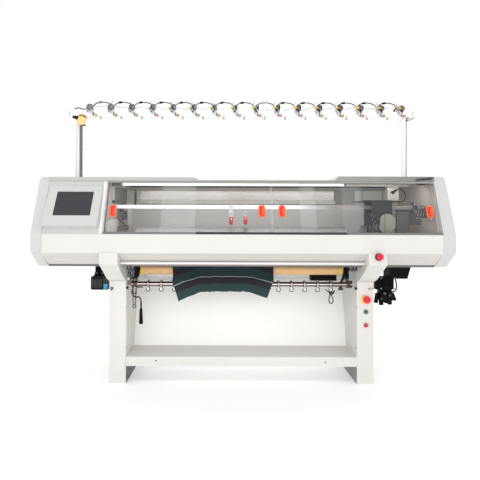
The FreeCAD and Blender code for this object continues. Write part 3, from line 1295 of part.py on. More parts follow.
def jumper_leads():
    """Short leads that arch from each tension unit to the next one."""
    places = unit_places()
    return [tube(lead_points(a[0] + LEAD_END, b[0] - LEAD_END), LEAD_R) for a, b in zip(places, places[1:])]


def signal_lamp():
    """Small lamp that hangs tilted from the front of the top bar, near its left end."""
    half = LAMP_SIZE / 2
    face = STAND_Y - TOP_BAR_DEPTH / 2
    y = face - half
    high = TOP_BAR_LOW - LAMP_GAP
    body = block(LAMP_X - half, LAMP_X + half, y - half, y + half, high - LAMP_HEIGHT, high)
    body = rounded(body, LAMP_ROUND, lambda edge: runs_along(edge, V(0, 0, 1)))
    body = turned(body, V(LAMP_X, y, high - LAMP_HEIGHT / 2), V(0, 1, 0), LAMP_TILT)
    side, front = LAMP_STEM / 2, y - LAMP_STEM_THICK / 2
    top = TOP_BAR_LOW + 8
    stem = block(LAMP_X - side, LAMP_X + side, front, front + LAMP_STEM_THICK, high - 12, top)
    foot = block(LAMP_X - side, LAMP_X + side, front, face, top - 4, top)
    return fused(body, stem, foot)


# ---- the machine -----------------------------------------------------------------------------
def nodes():
    """Name and solids of every sub-part, in the working frame."""
    left_x = WINDOW_LEFT + DOOR_END
    right_x = SIDE_RIGHT - DOOR_END - DOOR_LENGTH
    inner_face = -DOOR_SPACING
    left_pulls = (left_x + PULL_INSET, left_x + DOOR_LENGTH - PULL_MEETING)
    right_pulls = (right_x + PULL_MEETING, right_x + DOOR_LENGTH - PULL_INSET)
    front_bed = needle_bed(0)
    rear_bed = mirrored(needle_bed(RUN), y=THROAT_Y)
    neck_y = neck_face()[0]
    return {
        "left_leg": [leg(-1)], "right_leg": [leg(1)],
        "left_neck": [neck(-1)], "right_neck": [neck(1)],
        "tray": [tray()], "back_panel": [back_panel()],
        "bed_frame": [bed_frame()], "front_needle_bed": [front_bed], "rear_needle_bed": [rear_bed],
        "guide_rails": guide_rails(), "bed_brackets": bed_brackets(),
        "yarn_rails": yarn_rails(), "yarn_clamp": [yarn_clamp()],
        "feeder_1": [feeder(FEEDER_1_X, FRONT_YARN_RAIL, -1, THROAT_Y - 12, BED_APEX + 4)],
        "feeder_2": [feeder(FEEDER_2_X, FRONT_YARN_RAIL, 1, THROAT_Y - 3, BED_APEX + 11)],
        "feeder_3": [feeder(WALL_LEFT + FEEDER_3_INSET, REAR_YARN_RAIL, -1, THROAT_Y + 6, BED_APEX + 11)],
        "cam_boxes": cam_boxes(), "carriage_bridge": [carriage_bridge()],
        "carriage_covers": carriage_covers(),
        "drive_belt": [drive_belt()], "drive_pulley": [pulley(DRIVE_PULLEY_X)],
        "idler_pulley": [pulley(IDLER_PULLEY_X)], "drive_motor": [drive_motor()],
        "servo_box": [servo_box()],
        "front_beam": [front_beam()], "lower_covers": lower_covers(), "operating_bar": [operating_bar()],
        "left_cover": [left_cover()], "display_bezel": [display_bezel()],
        "display_screen": [display_screen()],
        "left_end_cap": [end_cap(-BODY_HALF, SIDE_LEFT, HOOD_LEFT_TOP + 2)],
        "right_end_cap": [end_cap(SIDE_RIGHT, BODY_HALF, HOOD_RIGHT_TOP + 2)],
        "left_door": [door(left_x, 0)], "right_door": [door(right_x, inner_face)],
        "left_door_pulls": door_pulls(left_pulls, 0), "right_door_pulls": door_pulls(right_pulls, inner_face),
        "door_tracks": door_tracks(), "hood": [hood()], "rear_cover": [rear_cover()],
        "light_bar": [light_bar()], "inner_walls": inner_walls(),
        "takedown_roller": [takedown_roller()], "roller_brackets": roller_brackets(),
        "guide_plate": [guide_plate()], "takedown_motor": [takedown_motor()],
        "press_shaft": [press_shaft()], "press_levers": press_levers(), "crank": [crank()],
        "knitted_cloth": [knitted_cloth()],
        "leg_stop_cap": [stop_cap(STOP_CAP_R, CONTROL_X, LEG_FRONT - PLATE_THICK, LEG_STOP_Z)],
        "neck_stop_cap": [on_neck(stop_cap(NECK_CAP_R, NECK_STOP_X, neck_y, NECK_STOP_Z))],
        "start_button": [button(GREEN_Z)], "stop_button": [button(RED_Z)],
        "control_plates": control_plates(),
        "stand_posts": stand_posts(), "top_bar": [top_bar()], "tension_units": tension_units(),
        "take_up_arms": take_up_arms(), "jumper_leads": jumper_leads(), "signal_lamp": [signal_lamp()],
    }


def middle_y():
    """Y of the footprint's middle: between the neck's stop cap and the backs of the legs."""
    y, tilt = neck_face()
    lean = math.radians(tilt)
    reach = STOP_FACE + CAP_DEPTH
    rim = (NECK_CAP_R - CAP_EDGE) * math.sin(lean)
    return (y - reach * math.cos(lean) - rim + LEG_BACK) / 2


def write_nodes():
    os.makedirs("parts", exist_ok=True)
    shift = V(0, -middle_y(), 0)
    print("the working frame's Y is the object's Y plus %.3f" % middle_y())
    for name, solids in nodes().items():
        shape = solids[0] if len(solids) == 1 else Part.makeCompound(solids)
        shape = shape.copy()
        shape.translate(shift)
        for solid in shape.Solids:
            if not solid.isValid():
                print("not valid:", name)
        shape.exportStep("parts/%s.step" % name)


write_nodes()
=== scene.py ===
import json
import math

import bpy
import bmesh
from mathutils import Matrix, Vector


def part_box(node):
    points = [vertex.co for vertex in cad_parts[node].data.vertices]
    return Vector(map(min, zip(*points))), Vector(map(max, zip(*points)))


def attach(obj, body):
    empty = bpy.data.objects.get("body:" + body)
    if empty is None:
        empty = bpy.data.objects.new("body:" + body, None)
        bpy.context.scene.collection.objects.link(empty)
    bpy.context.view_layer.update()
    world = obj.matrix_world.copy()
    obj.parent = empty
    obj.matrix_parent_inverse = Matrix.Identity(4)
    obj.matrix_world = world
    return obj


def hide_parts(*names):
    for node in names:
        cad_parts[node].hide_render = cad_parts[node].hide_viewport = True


# Looks of the flat knitting machine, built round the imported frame. Lengths are in
# millimetres: x from the middle, y behind the face of the front beam, z above the
# floor. at() turns them into metres in the frame's own axes.

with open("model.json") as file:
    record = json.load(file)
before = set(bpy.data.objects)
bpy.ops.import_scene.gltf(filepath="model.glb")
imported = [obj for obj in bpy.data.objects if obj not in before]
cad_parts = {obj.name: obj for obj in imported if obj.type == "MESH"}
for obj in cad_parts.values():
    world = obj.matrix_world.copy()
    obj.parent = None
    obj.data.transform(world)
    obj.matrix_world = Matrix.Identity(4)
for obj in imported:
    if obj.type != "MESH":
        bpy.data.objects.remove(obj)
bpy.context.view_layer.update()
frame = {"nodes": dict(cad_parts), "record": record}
NODES = frame["nodes"]
TRAY_FRONT = 234.0
MID = TRAY_FRONT - 1000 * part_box("tray")[0].y
TAU = 2 * math.pi
FRONT = (0, -1, 0)
DOOR_LEAN = math.radians(21.4)


def at(x, y, z):
    return Vector((x, y - MID, z)) / 1000


def circle(steps):
    """Angles of one full turn."""
    return [TAU * k / steps for k in range(steps)]


# ---------------------------------------------------------------- materials

LOOKS = {}


def linear(red, green, blue):
    """Linear colour of an sRGB colour given from 0 to 255."""
    parts = [c / 255 for c in (red, green, blue)]
    return tuple(c / 12.92 if c <= 0.04045 else ((c + 0.055) / 1.055) ** 2.4 for c in parts) + (1.0,)


def shade(colour, factor):
    return tuple(min(1.0, c * factor) for c in colour[:3]) + (1.0,)


def grey(level):
    return (level, level, level, 1.0)


class Look:
    """A Principled material, kept in LOOKS, with helpers that drive its sockets by position."""

    def __init__(self, name, **sockets):
        material = LOOKS[name] = bpy.data.materials.new(name)
        material.use_nodes = True
        self.tree = material.node_tree
        self.shader = self.tree.nodes["Principled BSDF"]
        for key, value in sockets.items():
            self.shader.inputs[key.replace("_", " ")].default_value = value
        self.place = self.node("ShaderNodeTexCoord").outputs["Object"]

    def node(self, kind, inputs={}, **settings):
        """New node; inputs gives its sockets an output to link or a value."""
        made = self.tree.nodes.new(kind)
        for key, value in settings.items():
            setattr(made, key, value)
        for key, given in inputs.items():
            if isinstance(given, bpy.types.NodeSocket):
                self.tree.links.new(given, made.inputs[key])
            else:
                made.inputs[key].default_value = given
        return made

    def drive(self, **sockets):
        for key, output in sockets.items():
            self.tree.links.new(output, self.shader.inputs[key.replace("_", " ")])

    def axis(self, letter):
        return self.node("ShaderNodeSeparateXYZ", {"Vector": self.place}).outputs[letter]

    def maths(self, operation, *given):
        return self.node("ShaderNodeMath", dict(enumerate(given)), operation=operation).outputs[0]

    def noise(self, scale, detail=3.0, rough=0.5, stretch=(1, 1, 1)):
        spots = self.node("ShaderNodeMapping", {"Vector": self.place, "Scale": stretch}).outputs["Vector"]
        return self.node("ShaderNodeTexNoise", {"Vector": spots, "Scale": scale, "Detail": detail,
                                                "Roughness": rough}).outputs["Fac"]

    def ramp(self, value, stops, interpolation="LINEAR"):
        node = self.node("ShaderNodeValToRGB", {"Fac": value})
        node.color_ramp.interpolation = interpolation
        edge = node.color_ramp.elements
        while len(edge) < len(stops):
            edge.new(0.5)
        for element, (position, colour) in zip(edge, stops):
            element.position = position
            element.color = colour
        return node.outputs["Color"]

    def blend(self, value, dark, light, low=0.3, high=0.7):
        return self.ramp(value, [(low, dark), (high, light)])

    def spread(self, value, low, high, low_in=0.3, high_in=0.7):
        return self.node("ShaderNodeMapRange", {"Value": value, "From Min": low_in, "From Max": high_in,
                                                "To Min": low, "To Max": high}).outputs["Result"]

    def mixed(self, share, one, two, mode="MIX"):
        return self.node("ShaderNodeMix", {0: share, 6: one, 7: two}, data_type="RGBA",
                         blend_type=mode).outputs[2]

    def bump(self, height, distance, strength=1.0):
        node = self.node("ShaderNodeBump", {"Height": height, "Distance": distance, "Strength": strength})
        self.drive(Normal=node.outputs["Normal"])


def coated(name, rgb, rough, grain=900, depth=60, drift=0.05, blotch=3, shine=0.5):
    """Paint or moulded plastic: slow colour drift, faint dust and a fine grain, in micrometres deep."""
    look = Look(name, Specular_IOR_Level=shine)
    base = linear(*rgb)
    tone = look.blend(look.noise(blotch, 6.0, 0.6), shade(base, 1 - drift), shade(base, 1 + drift * 0.4))
    dust = look.noise(blotch * 4, 5.0)
    look.drive(Base_Color=tone, Roughness=look.spread(dust, rough - 0.06, rough + 0.08))
    look.bump(look.noise(grain, 2.0), depth / 1e6)


def drawn_metal(name, rgb, rough, along=(1, 40, 40), scale=30, drift=0.18):
    """Metal with fine lines that run the way it was drawn or ground."""
    look = Look(name, Metallic=1.0)
    base = linear(*rgb)
    lines = look.noise(scale, 6.0, 0.7, along)
    look.drive(Base_Color=look.blend(lines, shade(base, 1 - drift), shade(base, 1 + drift)),
               Roughness=look.spread(lines, rough - 0.08, rough + 0.12))
    look.bump(lines, 0.00004)


def cast(name, rgb, rough):
    """Rough painted casting."""
    look = Look(name, Metallic=0.6)
    base = linear(*rgb)
    grit = look.noise(260, 8.0, 0.7)
    look.drive(Base_Color=look.blend(grit, shade(base, 0.7), shade(base, 1.2), 0.25, 0.75),
               Roughness=look.spread(grit, rough - 0.1, rough + 0.15))
    look.bump(grit, 0.0004)


def knit_look(name, run=520.0, stitch=3.2):
    """Stitches along a run in mm; the bands follow the distance from the hem, stored in the mesh."""
    look = Look(name, Sheen_Weight=0.1, Sheen_Roughness=0.5, Roughness=0.92)
    stored = look.node("ShaderNodeAttribute", attribute_name="rows").outputs["Vector"]
    apart = look.node("ShaderNodeSeparateXYZ", {"Vector": stored})
    across, up = apart.outputs["X"], apart.outputs["Y"]
    teal, navy, stripe = linear(20, 52, 54), linear(24, 20, 34), linear(176, 182, 196)
    edges = [(0, teal), (52, navy), (98, stripe), (103.5, teal), (166, navy), (212, teal), (264, navy),
             (309, stripe), (316, teal), (378, navy), (424, teal), (476, navy)]
    bands = look.ramp(look.spread(up, 0.0, 1.0, 0.0, run), [(e / run, c) for e, c in edges], "CONSTANT")
    fuzz = look.blend(look.noise(420, 4.0), grey(0.62), grey(1.25))
    look.drive(Base_Color=look.mixed(1.0, bands, fuzz, "MULTIPLY"))
    ribs = look.maths("SINE", look.maths("MULTIPLY", across, TAU / stitch))
    loops = look.maths("SINE", look.maths("ADD", up, ribs))
    look.bump(look.maths("ADD", ribs, loops), 0.0009, 0.8)


def wrap_look(name, band=0.676):
    """Tan cover of the take-down roller, with fine slanting grain; its ends, past band, are yellow."""
    look = Look(name)
    grain = look.noise(22, 7.0, 0.65, (1, 9, 9))
    wood = look.blend(grain, linear(205, 158, 104), linear(232, 190, 138), 0.3, 0.65)
    end = look.maths("GREATER_THAN", look.maths("ABSOLUTE", look.axis("X")), band)
    look.drive(Base_Color=look.mixed(end, wood, linear(235, 214, 60)), Roughness=look.spread(grain, 0.5, 0.7))
    look.bump(look.noise(500, 3.0, 0.5, (1, 4, 4)), 0.0003)


def clear_look(name, rgb, cover, rough, bands=(), left_end=-1.0, span=2.4):
    """Thin clear sheet with faint upright haze, partly real haze and partly painted reflection; bands are
    (left, right, cover) in metres along x: less clear strips that are painted reflections.
    """
    look = Look(name, Roughness=rough, Specular_IOR_Level=0.6)
    base = linear(*rgb)
    haze = look.noise(2.2, 3.0, 0.5, (1.5, 1, 0.25))
    veil = look.spread(haze, cover * 0.75, cover * 1.3)
    if bands:
        stops = [(0.0, grey(cover))]
        for left, right, more in bands:
            stops += [((left - left_end) / span, grey(more)), ((right - left_end) / span, grey(cover))]
        veil = look.ramp(look.spread(look.axis("X"), 0.0, 1.0, left_end, left_end + span), stops, "CONSTANT")
    look.drive(Base_Color=look.blend(haze, shade(base, 0.93), base), Alpha=veil)
    look.bump(look.noise(1.4, 1.0), 0.0006, 0.4)


def lipped(name, rgb, lip, edge, axis, rough):
    """Paint whose part below edge (metres along axis) has its own tone: a colour, or stops along x. On the
    hood's front lip, the lower door track and the operating bar's underside that tone is painted shade; on
    the feeders it is their second paint.
    """
    look = Look(name)
    drift = look.noise(3, 6.0, 0.6)
    plain = linear(*rgb)
    if isinstance(lip, list):
        tone = look.ramp(look.spread(look.axis("X"), 0.0, 1.0, -0.9, 1.3), [(s, linear(*c)) for s, c in lip])
    else:
        tone = look.blend(drift, shade(linear(*lip), 0.93), shade(linear(*lip), 1.05))
    beyond = look.maths("LESS_THAN", look.axis(axis), edge)
    look.drive(Base_Color=look.mixed(beyond, look.blend(drift, shade(plain, 0.96), plain), tone),
               Roughness=look.spread(drift, rough - 0.06, rough + 0.08))
    look.bump(look.noise(900, 2.0), 0.00006)


def glow_look(name, rgb, strength):
    look = Look(name, Roughness=0.4, Emission_Strength=strength)
    base = linear(*rgb)
    tone = look.blend(look.noise(12, 2.0), shade(base, 0.95), base)
    look.drive(Base_Color=tone, Emission_Color=tone)


def bar_with_painted_glint(name, centre, stops):
    """Polished round bar lying along x; stops give its tone at heights from its axis, in metres: a painted
    highlight along the middle, with painted shade above and below it.
    """
    look = Look(name, Metallic=0.9, Roughness=0.28)
    low, high = stops[0][0], stops[-1][0]
    height = look.spread(look.axis("Z"), 0.0, 1.0, centre + low, centre + high)
    tone = look.ramp(height, [((z - low) / (high - low), linear(*rgb)) for z, rgb in stops])
    wear = look.blend(look.noise(9, 5.0, 0.5, (1, 8, 8)), (0.82, 0.8, 0.78, 1), grey(1))
    look.drive(Base_Color=look.mixed(1.0, tone, wear, "MULTIPLY"))
    look.bump(look.noise(200, 3.0, 0.5, (0.05, 1, 1)), 0.00003)


def rail_glow_look(name):
    """White rails, brightened by a painted glow that fades out towards the carriage; their right end, past
    the carriage, is bare grey metal.
    """
    look = Look(name, Roughness=0.22)
    along = look.spread(look.axis("X"), 0.0, 1.0, 0.36, 0.62)
    drift = look.blend(look.noise(5, 4.0), grey(0.9), grey(1))
    tone = look.mixed(along, linear(240, 240, 244), linear(156, 150, 146))
    look.drive(Base_Color=look.mixed(1.0, tone, drift, "MULTIPLY"), Emission_Color=tone,
               Emission_Strength=look.spread(along, 0.3, 0.0, 0.0, 0.6))


def make(kind, *rows):
    for row in rows:
        kind(*row)


# name, colour, roughness, then as coated() asks: grain, depth, drift, blotch, shine
make(coated,
     ("cover_paint", (221, 219, 214), 0.42, 900, 60, 0.035),
     ("stand_paint", (240, 241, 245), 0.3, 900, 60, 0.03), ("cap_plastic", (204, 204, 202), 0.45, 1400, 80),
     ("carriage_black", (34, 34, 36), 0.5, 700, 100, 0.2, 3, 0.25),
     ("carriage_cream", (150, 149, 132), 0.42, 1200), ("feeder_red", (196, 40, 44), 0.38, 800),
     ("belt_rubber", (24, 24, 25), 0.8, 500, 200, 0.25, 3, 0.2),
     ("unit_black", (14, 13, 15), 0.6, 800, 120, 0.3, 8, 0.12),
     ("screen_glass", (44, 46, 50), 0.16, 300, 10, 0.06, 5), ("pull_orange", (255, 84, 34), 0.32),
     ("stop_red", (222, 22, 52), 0.28), ("start_green", (16, 112, 78), 0.3),
     ("control_yellow", (255, 200, 96), 0.4), ("unit_grey", (142, 142, 143), 0.45, 900, 80, 0.12, 30),
     ("lead_black", (10, 10, 11), 0.6, 900, 80, 0.25, 60, 0.1),
     ("apron_paint", (208, 204, 199), 0.45, 900, 60, 0.03),
     ("panel_paint", (247, 247, 244), 0.45, 900, 60, 0.02),
     ("bar_paint", (246, 246, 248), 0.4, 500, 20, 0.01), ("wall_paint", (206, 195, 186), 0.5, 900, 60, 0.06),
     ("sleeve_black", (8, 8, 9), 0.5, 1200, 60, 0.2, 60, 0.1),
     ("sleeve_grey", (176, 176, 178), 0.4, 1200, 60, 0.1, 60),
     ("ceramic", (238, 236, 228), 0.2, 900, 20), ("nylon_white", (232, 232, 230), 0.4),
     ("nylon_black", (13, 13, 15), 0.5, 900, 80, 0.2, 3, 0.12), ("eye_grey", (112, 112, 116), 0.4, 800),
     ("rubber", (52, 51, 50), 0.75, 700, 100, 0.2, 20), ("grey_plate", (150, 150, 142), 0.5, 700, 80, 0.08),
     ("wall_grey", (118, 118, 111), 0.55, 700, 80, 0.1), ("rear_pale", (226, 223, 216), 0.4, 700, 60, 0.05),
     ("pale_plate", (196, 196, 192), 0.45, 700, 80, 0.06), ("side_grey", (78, 76, 80), 0.5, 700, 100, 0.1),
     ("box_white", (232, 230, 220), 0.42), ("box_cream", (184, 180, 166), 0.42),
     ("wall_beige", (150, 141, 134), 0.5, 700, 80, 0.06), ("band_grey", (168, 166, 162), 0.5, 700, 80, 0.1),
     ("post_white", (248, 247, 243), 0.35), ("seam_olive", (112, 110, 88), 0.55),
     ("lamp_off", (204, 199, 190), 0.3, 600, 30, 0.05), ("knob_red", (168, 30, 44), 0.35),
     ("pull_rim", (255, 118, 74), 0.28), ("pull_core", (226, 46, 22), 0.4),
     ("blade_black", (22, 20, 28), 0.4, 900, 60, 0.3, 50, 0.2), ("recess_line", (120, 120, 117), 0.6, 600),
     ("black_grip", (9, 8, 8), 0.5, 500, 150, 0.2, 3, 0.12), ("unit_blue", (30, 160, 204), 0.4),
     ("box_grey", (62, 62, 60), 0.55, 600, 100, 0.15, 3, 0.2), ("strip_dark", (104, 104, 106), 0.5, 800),
     ("strip_pale", (178, 178, 180), 0.5, 800), ("leg_shade_dark", (92, 92, 90), 0.6, 600),
     ("recess_pale", (136, 136, 134), 0.6, 600), ("lamp_yellow", (226, 196, 70), 0.35))
EVENLY = (20, 20, 20)
make(drawn_metal,
     ("bed_steel", (196, 196, 194), 0.3), ("track_alloy", (208, 208, 206), 0.34, (1, 40, 40), 30, 0.1),
     ("cam_alloy", (150, 152, 154), 0.4, (8, 8, 30)), ("shaft_steel", (172, 166, 158), 0.26, (30, 3, 3)),
     ("wire_steel", (198, 198, 198), 0.2, EVENLY), ("zinc", (186, 187, 190), 0.38, (12, 12, 12), 60, 0.15),
     ("disc_steel", (128, 128, 131), 0.42, EVENLY, 90, 0.12),
     ("chrome", (214, 214, 216), 0.12, EVENLY, 40, 0.06),
     ("dark_bolt", (44, 42, 42), 0.45, EVENLY, 60, 0.2), ("trick_steel", (206, 206, 204), 0.25),
     ("needle_steel", (188, 188, 190), 0.18), ("brown_steel", (92, 78, 66), 0.38, EVENLY, 60, 0.2),
     ("ring_dark", (62, 54, 48), 0.35, EVENLY, 60, 0.2))
# Painted reflections: the three less clear upright bands across the door sheets.
make(clear_look,
     ("door_clear", (214, 216, 216), 0.035, 0.06,
      ((-0.53, -0.31, 0.15), (0.36, 0.47, 0.14), (0.64, 0.77, 0.1))),
     ("sheet_edge", (226, 228, 228), 0.26, 0.2), ("pane", (224, 215, 203), 0.52, 0.12))
make(glow_look, ("lamp_white", (246, 247, 248), 0.35), ("lamp_cream", (246, 206, 132), 0.12),
     ("tube_lit", (250, 251, 252), 0.9))
# Painted shade: the hood's front lip, darker towards the right, the lower door track and the underside of the
# operating bar; the feeders' lower parts are their red paint.
make(lipped,
     ("hood_shaded_paint", (221, 219, 214), [(0.0, (186, 184, 180)), (0.5, (176, 174, 171)), (0.75, (150, 146, 141)),
                                      (1.0, (130, 126, 120))], 0.134 - MID / 1000, "Y", 0.42),
     ("track_shaded_paint", (168, 167, 163), (118, 118, 116), 1.045, "Z", 0.5),
     ("operating_bar_shaded", (238, 237, 237), (158, 148, 144), 0.8295, "Z", 0.22),
     ("feeder_1_paint", (206, 206, 208), (206, 52, 66), 1.132, "Z", 0.4),
     ("feeder_2_paint", (206, 206, 208), (214, 66, 78), 1.132, "Z", 0.4),
     ("feeder_3_paint", (178, 178, 180), (196, 120, 122), 1.086, "Z", 0.4))
cast("iron", (120, 122, 122), 0.55)
wrap_look("roller_tan")
knit_look("knit")
rail_glow_look("rail_painted_glow")
# Painted highlight and shade across the press shaft.
bar_with_painted_glint("press_bar_painted_glint", 0.674, [
    (-0.015, (44, 36, 32)), (-0.006, (66, 56, 50)), (-0.003, (170, 158, 148)), (0.002, (226, 214, 206)),
    (0.005, (140, 124, 112)), (0.007, (36, 26, 20)), (0.015, (20, 14, 10))])
OWN_LOOKS = {"hood": "hood_shaded_paint", "lower_covers": "apron_paint", "door_tracks": "track_shaded_paint",
             "back_panel": "panel_paint", "operating_bar": "operating_bar_shaded", "yarn_rails": "rail_painted_glow",
             "press_shaft": "press_bar_painted_glint", "top_bar": "bar_paint", "inner_walls": "wall_paint",
             "feeder_1": "feeder_1_paint", "feeder_2": "feeder_2_paint", "feeder_3": "feeder_3_paint"}
for item in frame["record"]["subparts"]:
    slots = NODES[item["node"]].data.materials
    slots.clear()
    slots.append(LOOKS[OWN_LOOKS.get(item["node"], item["material_slot"])])

# ---------------------------------------------------------------- camera and room

scene = bpy.context.scene
scene.view_settings.view_transform = "Standard"
IMAGE_PX, FOCAL_PX, SENSOR = 480.0, 440.0, 36.0


def new_object(name, data):
    made = bpy.data.objects.new(name, data)
    scene.collection.objects.link(made)
    return made


lens = bpy.data.cameras.new("camera")
lens.sensor_width = SENSOR
lens.lens = SENSOR * FOCAL_PX / IMAGE_PX
lens.shift_x, lens.shift_y = 14.3 / IMAGE_PX, -26.6 / IMAGE_PX
camera = new_object("camera", lens)
camera.location = at(-110, -2750, 1155)
camera.rotation_euler = (math.pi / 2, math.radians(-0.2), 0)
scene.camera = camera

world = bpy.data.worlds.new("room")
world.use_nodes = True
world.node_tree.nodes["Background"].inputs["Color"].default_value = grey(1)
world.node_tree.nodes["Background"].inputs["Strength"].default_value = 1.0
scene.world = world

# name, place, target, size in metres, power
for name, place, target, size, power in (
        ("front", (-0.6, -4.4, 1.5), (0, 0, 0.9), (4.0, 2.0), 38),
        ("top", (0.6, 0.4, 3.8), (0, 0, 1.0), (3.5, 2.5), 8),
        ("back", (1.2, 3.6, 2.4), (0, 0, 1.0), (3.0, 2.0), 10),
        ("inside", at(190, 196, 1334), at(190, 420, 1040), (2.0, 0.03), 1.7),
        ("below", at(-20, 60, 560), at(-20, 600, 330), (1.3, 0.2), 1.1)):
    light = bpy.data.lights.new(name, "AREA")
    light.shape = "RECTANGLE"
    light.size, light.size_y = size
    light.energy = power
    lamp = new_object(name, light)
    lamp.location = place
    lamp.rotation_euler = (Vector(target) - Vector(place)).to_track_quat("-Z", "Y").to_euler()

floor_look = Look("floor", Roughness=0.9, Emission_Color=grey(1), Emission_Strength=0.16)
floor_look.drive(Base_Color=floor_look.blend(floor_look.noise(0.6), grey(0.93), grey(0.96)))
floor_mesh = bpy.data.meshes.new("floor")
floor_mesh.from_pydata([(-30, -30, 0), (30, -30, 0), (30, 30, 0), (-30, 30, 0)], [], [(0, 1, 2, 3)])
floor_mesh.materials.append(LOOKS["floor"])
new_object("floor", floor_mesh)

# ---------------------------------------------------------------- shapes

BOX_FACES = [(0, 1, 3, 2), (4, 6, 7, 5), (0, 4, 5, 1), (2, 3, 7, 6), (0, 2, 6, 4), (1, 5, 7, 3)]


def square_to(along):
    """Two directions square to along and to each other."""
    side = along.orthogonal().normalized()
    return side, along.cross(side)


def round_about(centre, side, up, radius, steps):
    return [centre + (side * math.cos(t) + up * math.sin(t)) * radius / 1000 for t in circle(steps)]


def drum(count):
    """Faces of a solid between two outlines of count points, one listed after the other."""
    walls = [(k, (k + 1) % count, (k + 1) % count + count, k + count) for k in range(count)]
    return [tuple(range(count))[::-1], tuple(range(count, 2 * count))] + walls


def hoop(x, y, z, radius, angles):
    """Points in mm round an axis that runs from front to rear."""
    return [(x + radius * math.cos(t), y, z + radius * math.sin(t)) for t in angles]


class Piece:
    """Closed solids gathered into one mesh, each with its own look from LOOKS."""

    def __init__(self, name, body="frame", slot=None):
        self.name, self.body, self.slot = name, body, slot
        self.mesh = bmesh.new()
        self.looks = []

    def add(self, points, faces, look, smooth=False):
        if look not in self.looks:
            self.looks.append(look)
        verts = [self.mesh.verts.new(p) for p in points]
        made = []
        for face in faces:
            new = self.mesh.faces.new([verts[i] for i in face])
            new.material_index = self.looks.index(look)
            new.smooth = smooth
            made.append(new)
        return verts, made

    def rounded(self, points, faces, look, bevel):
        verts = self.add(points, faces, look)[0]
        if bevel:
            edges = list(dict.fromkeys(e for v in verts for e in v.link_edges))
            bmesh.ops.bevel(self.mesh, geom=edges, offset=bevel / 1000, offset_type="OFFSET", segments=2,
                            profile=0.5, affect="EDGES", clamp_overlap=True)

    def box(self, x, y, z, look, bevel=0.0, turn=None):
        """Box between the pairs x, y and z, with rounded edges, turned by a matrix about its centre."""
        points = [at(a, b, c) for a in x for b in y for c in z]
        if turn is not None:
            centre = sum(points, Vector()) / 8
            points = [centre + turn @ (p - centre) for p in points]
        self.rounded(points, BOX_FACES, look, bevel)

    def prism(self, outline, axis, low, high, look, bevel=0.0):
        """Outline in the two other axes, in their order, run from low to high along axis."""
        points = []
        for end in (low, high):
            for pair in outline:
                trio = list(pair)
                trio.insert("xyz".index(axis), end)
                points.append(at(*trio))
        self.rounded(points, drum(len(outline)), look, bevel)

    def spun(self, start, end, profile, look, steps=20, smooth=True):
        """Solid of revolution from start to end; profile is (share of the way, radius in mm)."""
        a, b = at(*start), at(*end)
        side, up = square_to((b - a).normalized())
        points, starts, faces = [], [], []
        for share, radius in profile:
            starts.append(len(points))
            centre = a.lerp(b, share)
            points += round_about(centre, side, up, radius, steps) if radius > 0 else [centre]
        for i, (p, q) in enumerate(zip(starts, starts[1:])):
            for k in range(steps):
                n = (k + 1) % steps
                if profile[i][1] <= 0:
                    faces.append((p, q + n, q + k))
                elif profile[i + 1][1] <= 0:
                    faces.append((p + k, p + n, q))
                else:
                    faces.append((p + k, p + n, q + n, q + k))
        curved = len(faces)
        if profile[0][1] > 0:
            faces.append(tuple(range(steps))[::-1])
        if profile[-1][1] > 0:
            faces.append(tuple(starts[-1] + k for k in range(steps)))
        for face in self.add(points, faces, look, smooth)[1][curved:]:
            face.smooth = False

    def rod(self, start, end, radius, look, steps=16, chamfer=0.0):
        length = (Vector(end) - Vector(start)).length
        cut = min(chamfer, radius * 0.6, length * 0.3)
        profile = [(0, radius), (1, radius)]
        if cut:
            share = cut / length
            profile = [(0, radius - cut), (share, radius), (1 - share, radius), (1, radius - cut)]
        self.spun(start, end, profile, look, steps)

    def boxes(self, *rows):
        """Boxes from rows of two x, two y and two z, then as box() asks."""
        for row in rows:
            self.box(row[:2], row[2:4], row[4:6], *row[6:])

    def rods(self, *rows):
        """Rods from rows of start x, y, z and end x, y, z, then as rod() asks."""
        for row in rows:
            self.rod(row[:3], row[3:6], *row[6:])

    def ring(self, start, end, inner, outer, look, steps=32, chamfer=1.0):
        """Bored collar between two points in mm."""
        a, b = at(*start), at(*end)
        side, up = square_to((b - a).normalized())
        cut = chamfer / ((b - a).length * 1000)
        lip = outer - chamfer
        loop = [(0, inner), (0, lip), (cut, outer), (1 - cut, outer), (1, lip), (1, inner)]
        spots, faces = [], []
        for i, (share, radius) in enumerate(loop):
            spots += round_about(a.lerp(b, share), side, up, radius, steps)
            p, q = i * steps, (i + 1) % len(loop) * steps
            faces += [(p + k, p + (k + 1) % steps, q + (k + 1) % steps, q + k) for k in range(steps)]
        self.add(spots, faces, look)

    def pipe(self, points, radius, look, steps=10, closed=False):
        """Round wire along points in mm, with flat ends; radius is a number or one for each point."""
        path = [at(*p) for p in points]
        count = len(path)
        side = None
        rings, faces = [], []
        for i, p in enumerate(path):
            before = path[i - 1] if i or closed else p
            after = path[(i + 1) % count] if i < count - 1 or closed else p
            along = (after - before).normalized()
            side = along.orthogonal() if side is None else side - along * side.dot(along)
            side.normalize()
            size = radius[i] if isinstance(radius, list) else radius
            rings.append(round_about(p, side, along.cross(side), size, steps))
        for i in range(count if closed else count - 1):
            p, q = i * steps, (i + 1) % count * steps
            shift = 0
            if closed and i == count - 1:
                shift = min(range(steps), key=lambda s: (rings[i][0] - rings[0][s]).length)
            for k in range(steps):
                n = (k + 1) % steps
                faces.append((p + k, p + n, q + (n + shift) % steps, q + (k + shift) % steps))
        if not closed:
            faces.append(tuple(range(steps))[::-1])
            faces.append(tuple((count - 1) * steps + k for k in range(steps)))
        self.add([p for ring in rings for p in ring], faces, look, True)

    def wire(self, points, radius, look, steps=8, bends=5):
        self.pipe(smooth_line(points, bends), radius, look, steps)

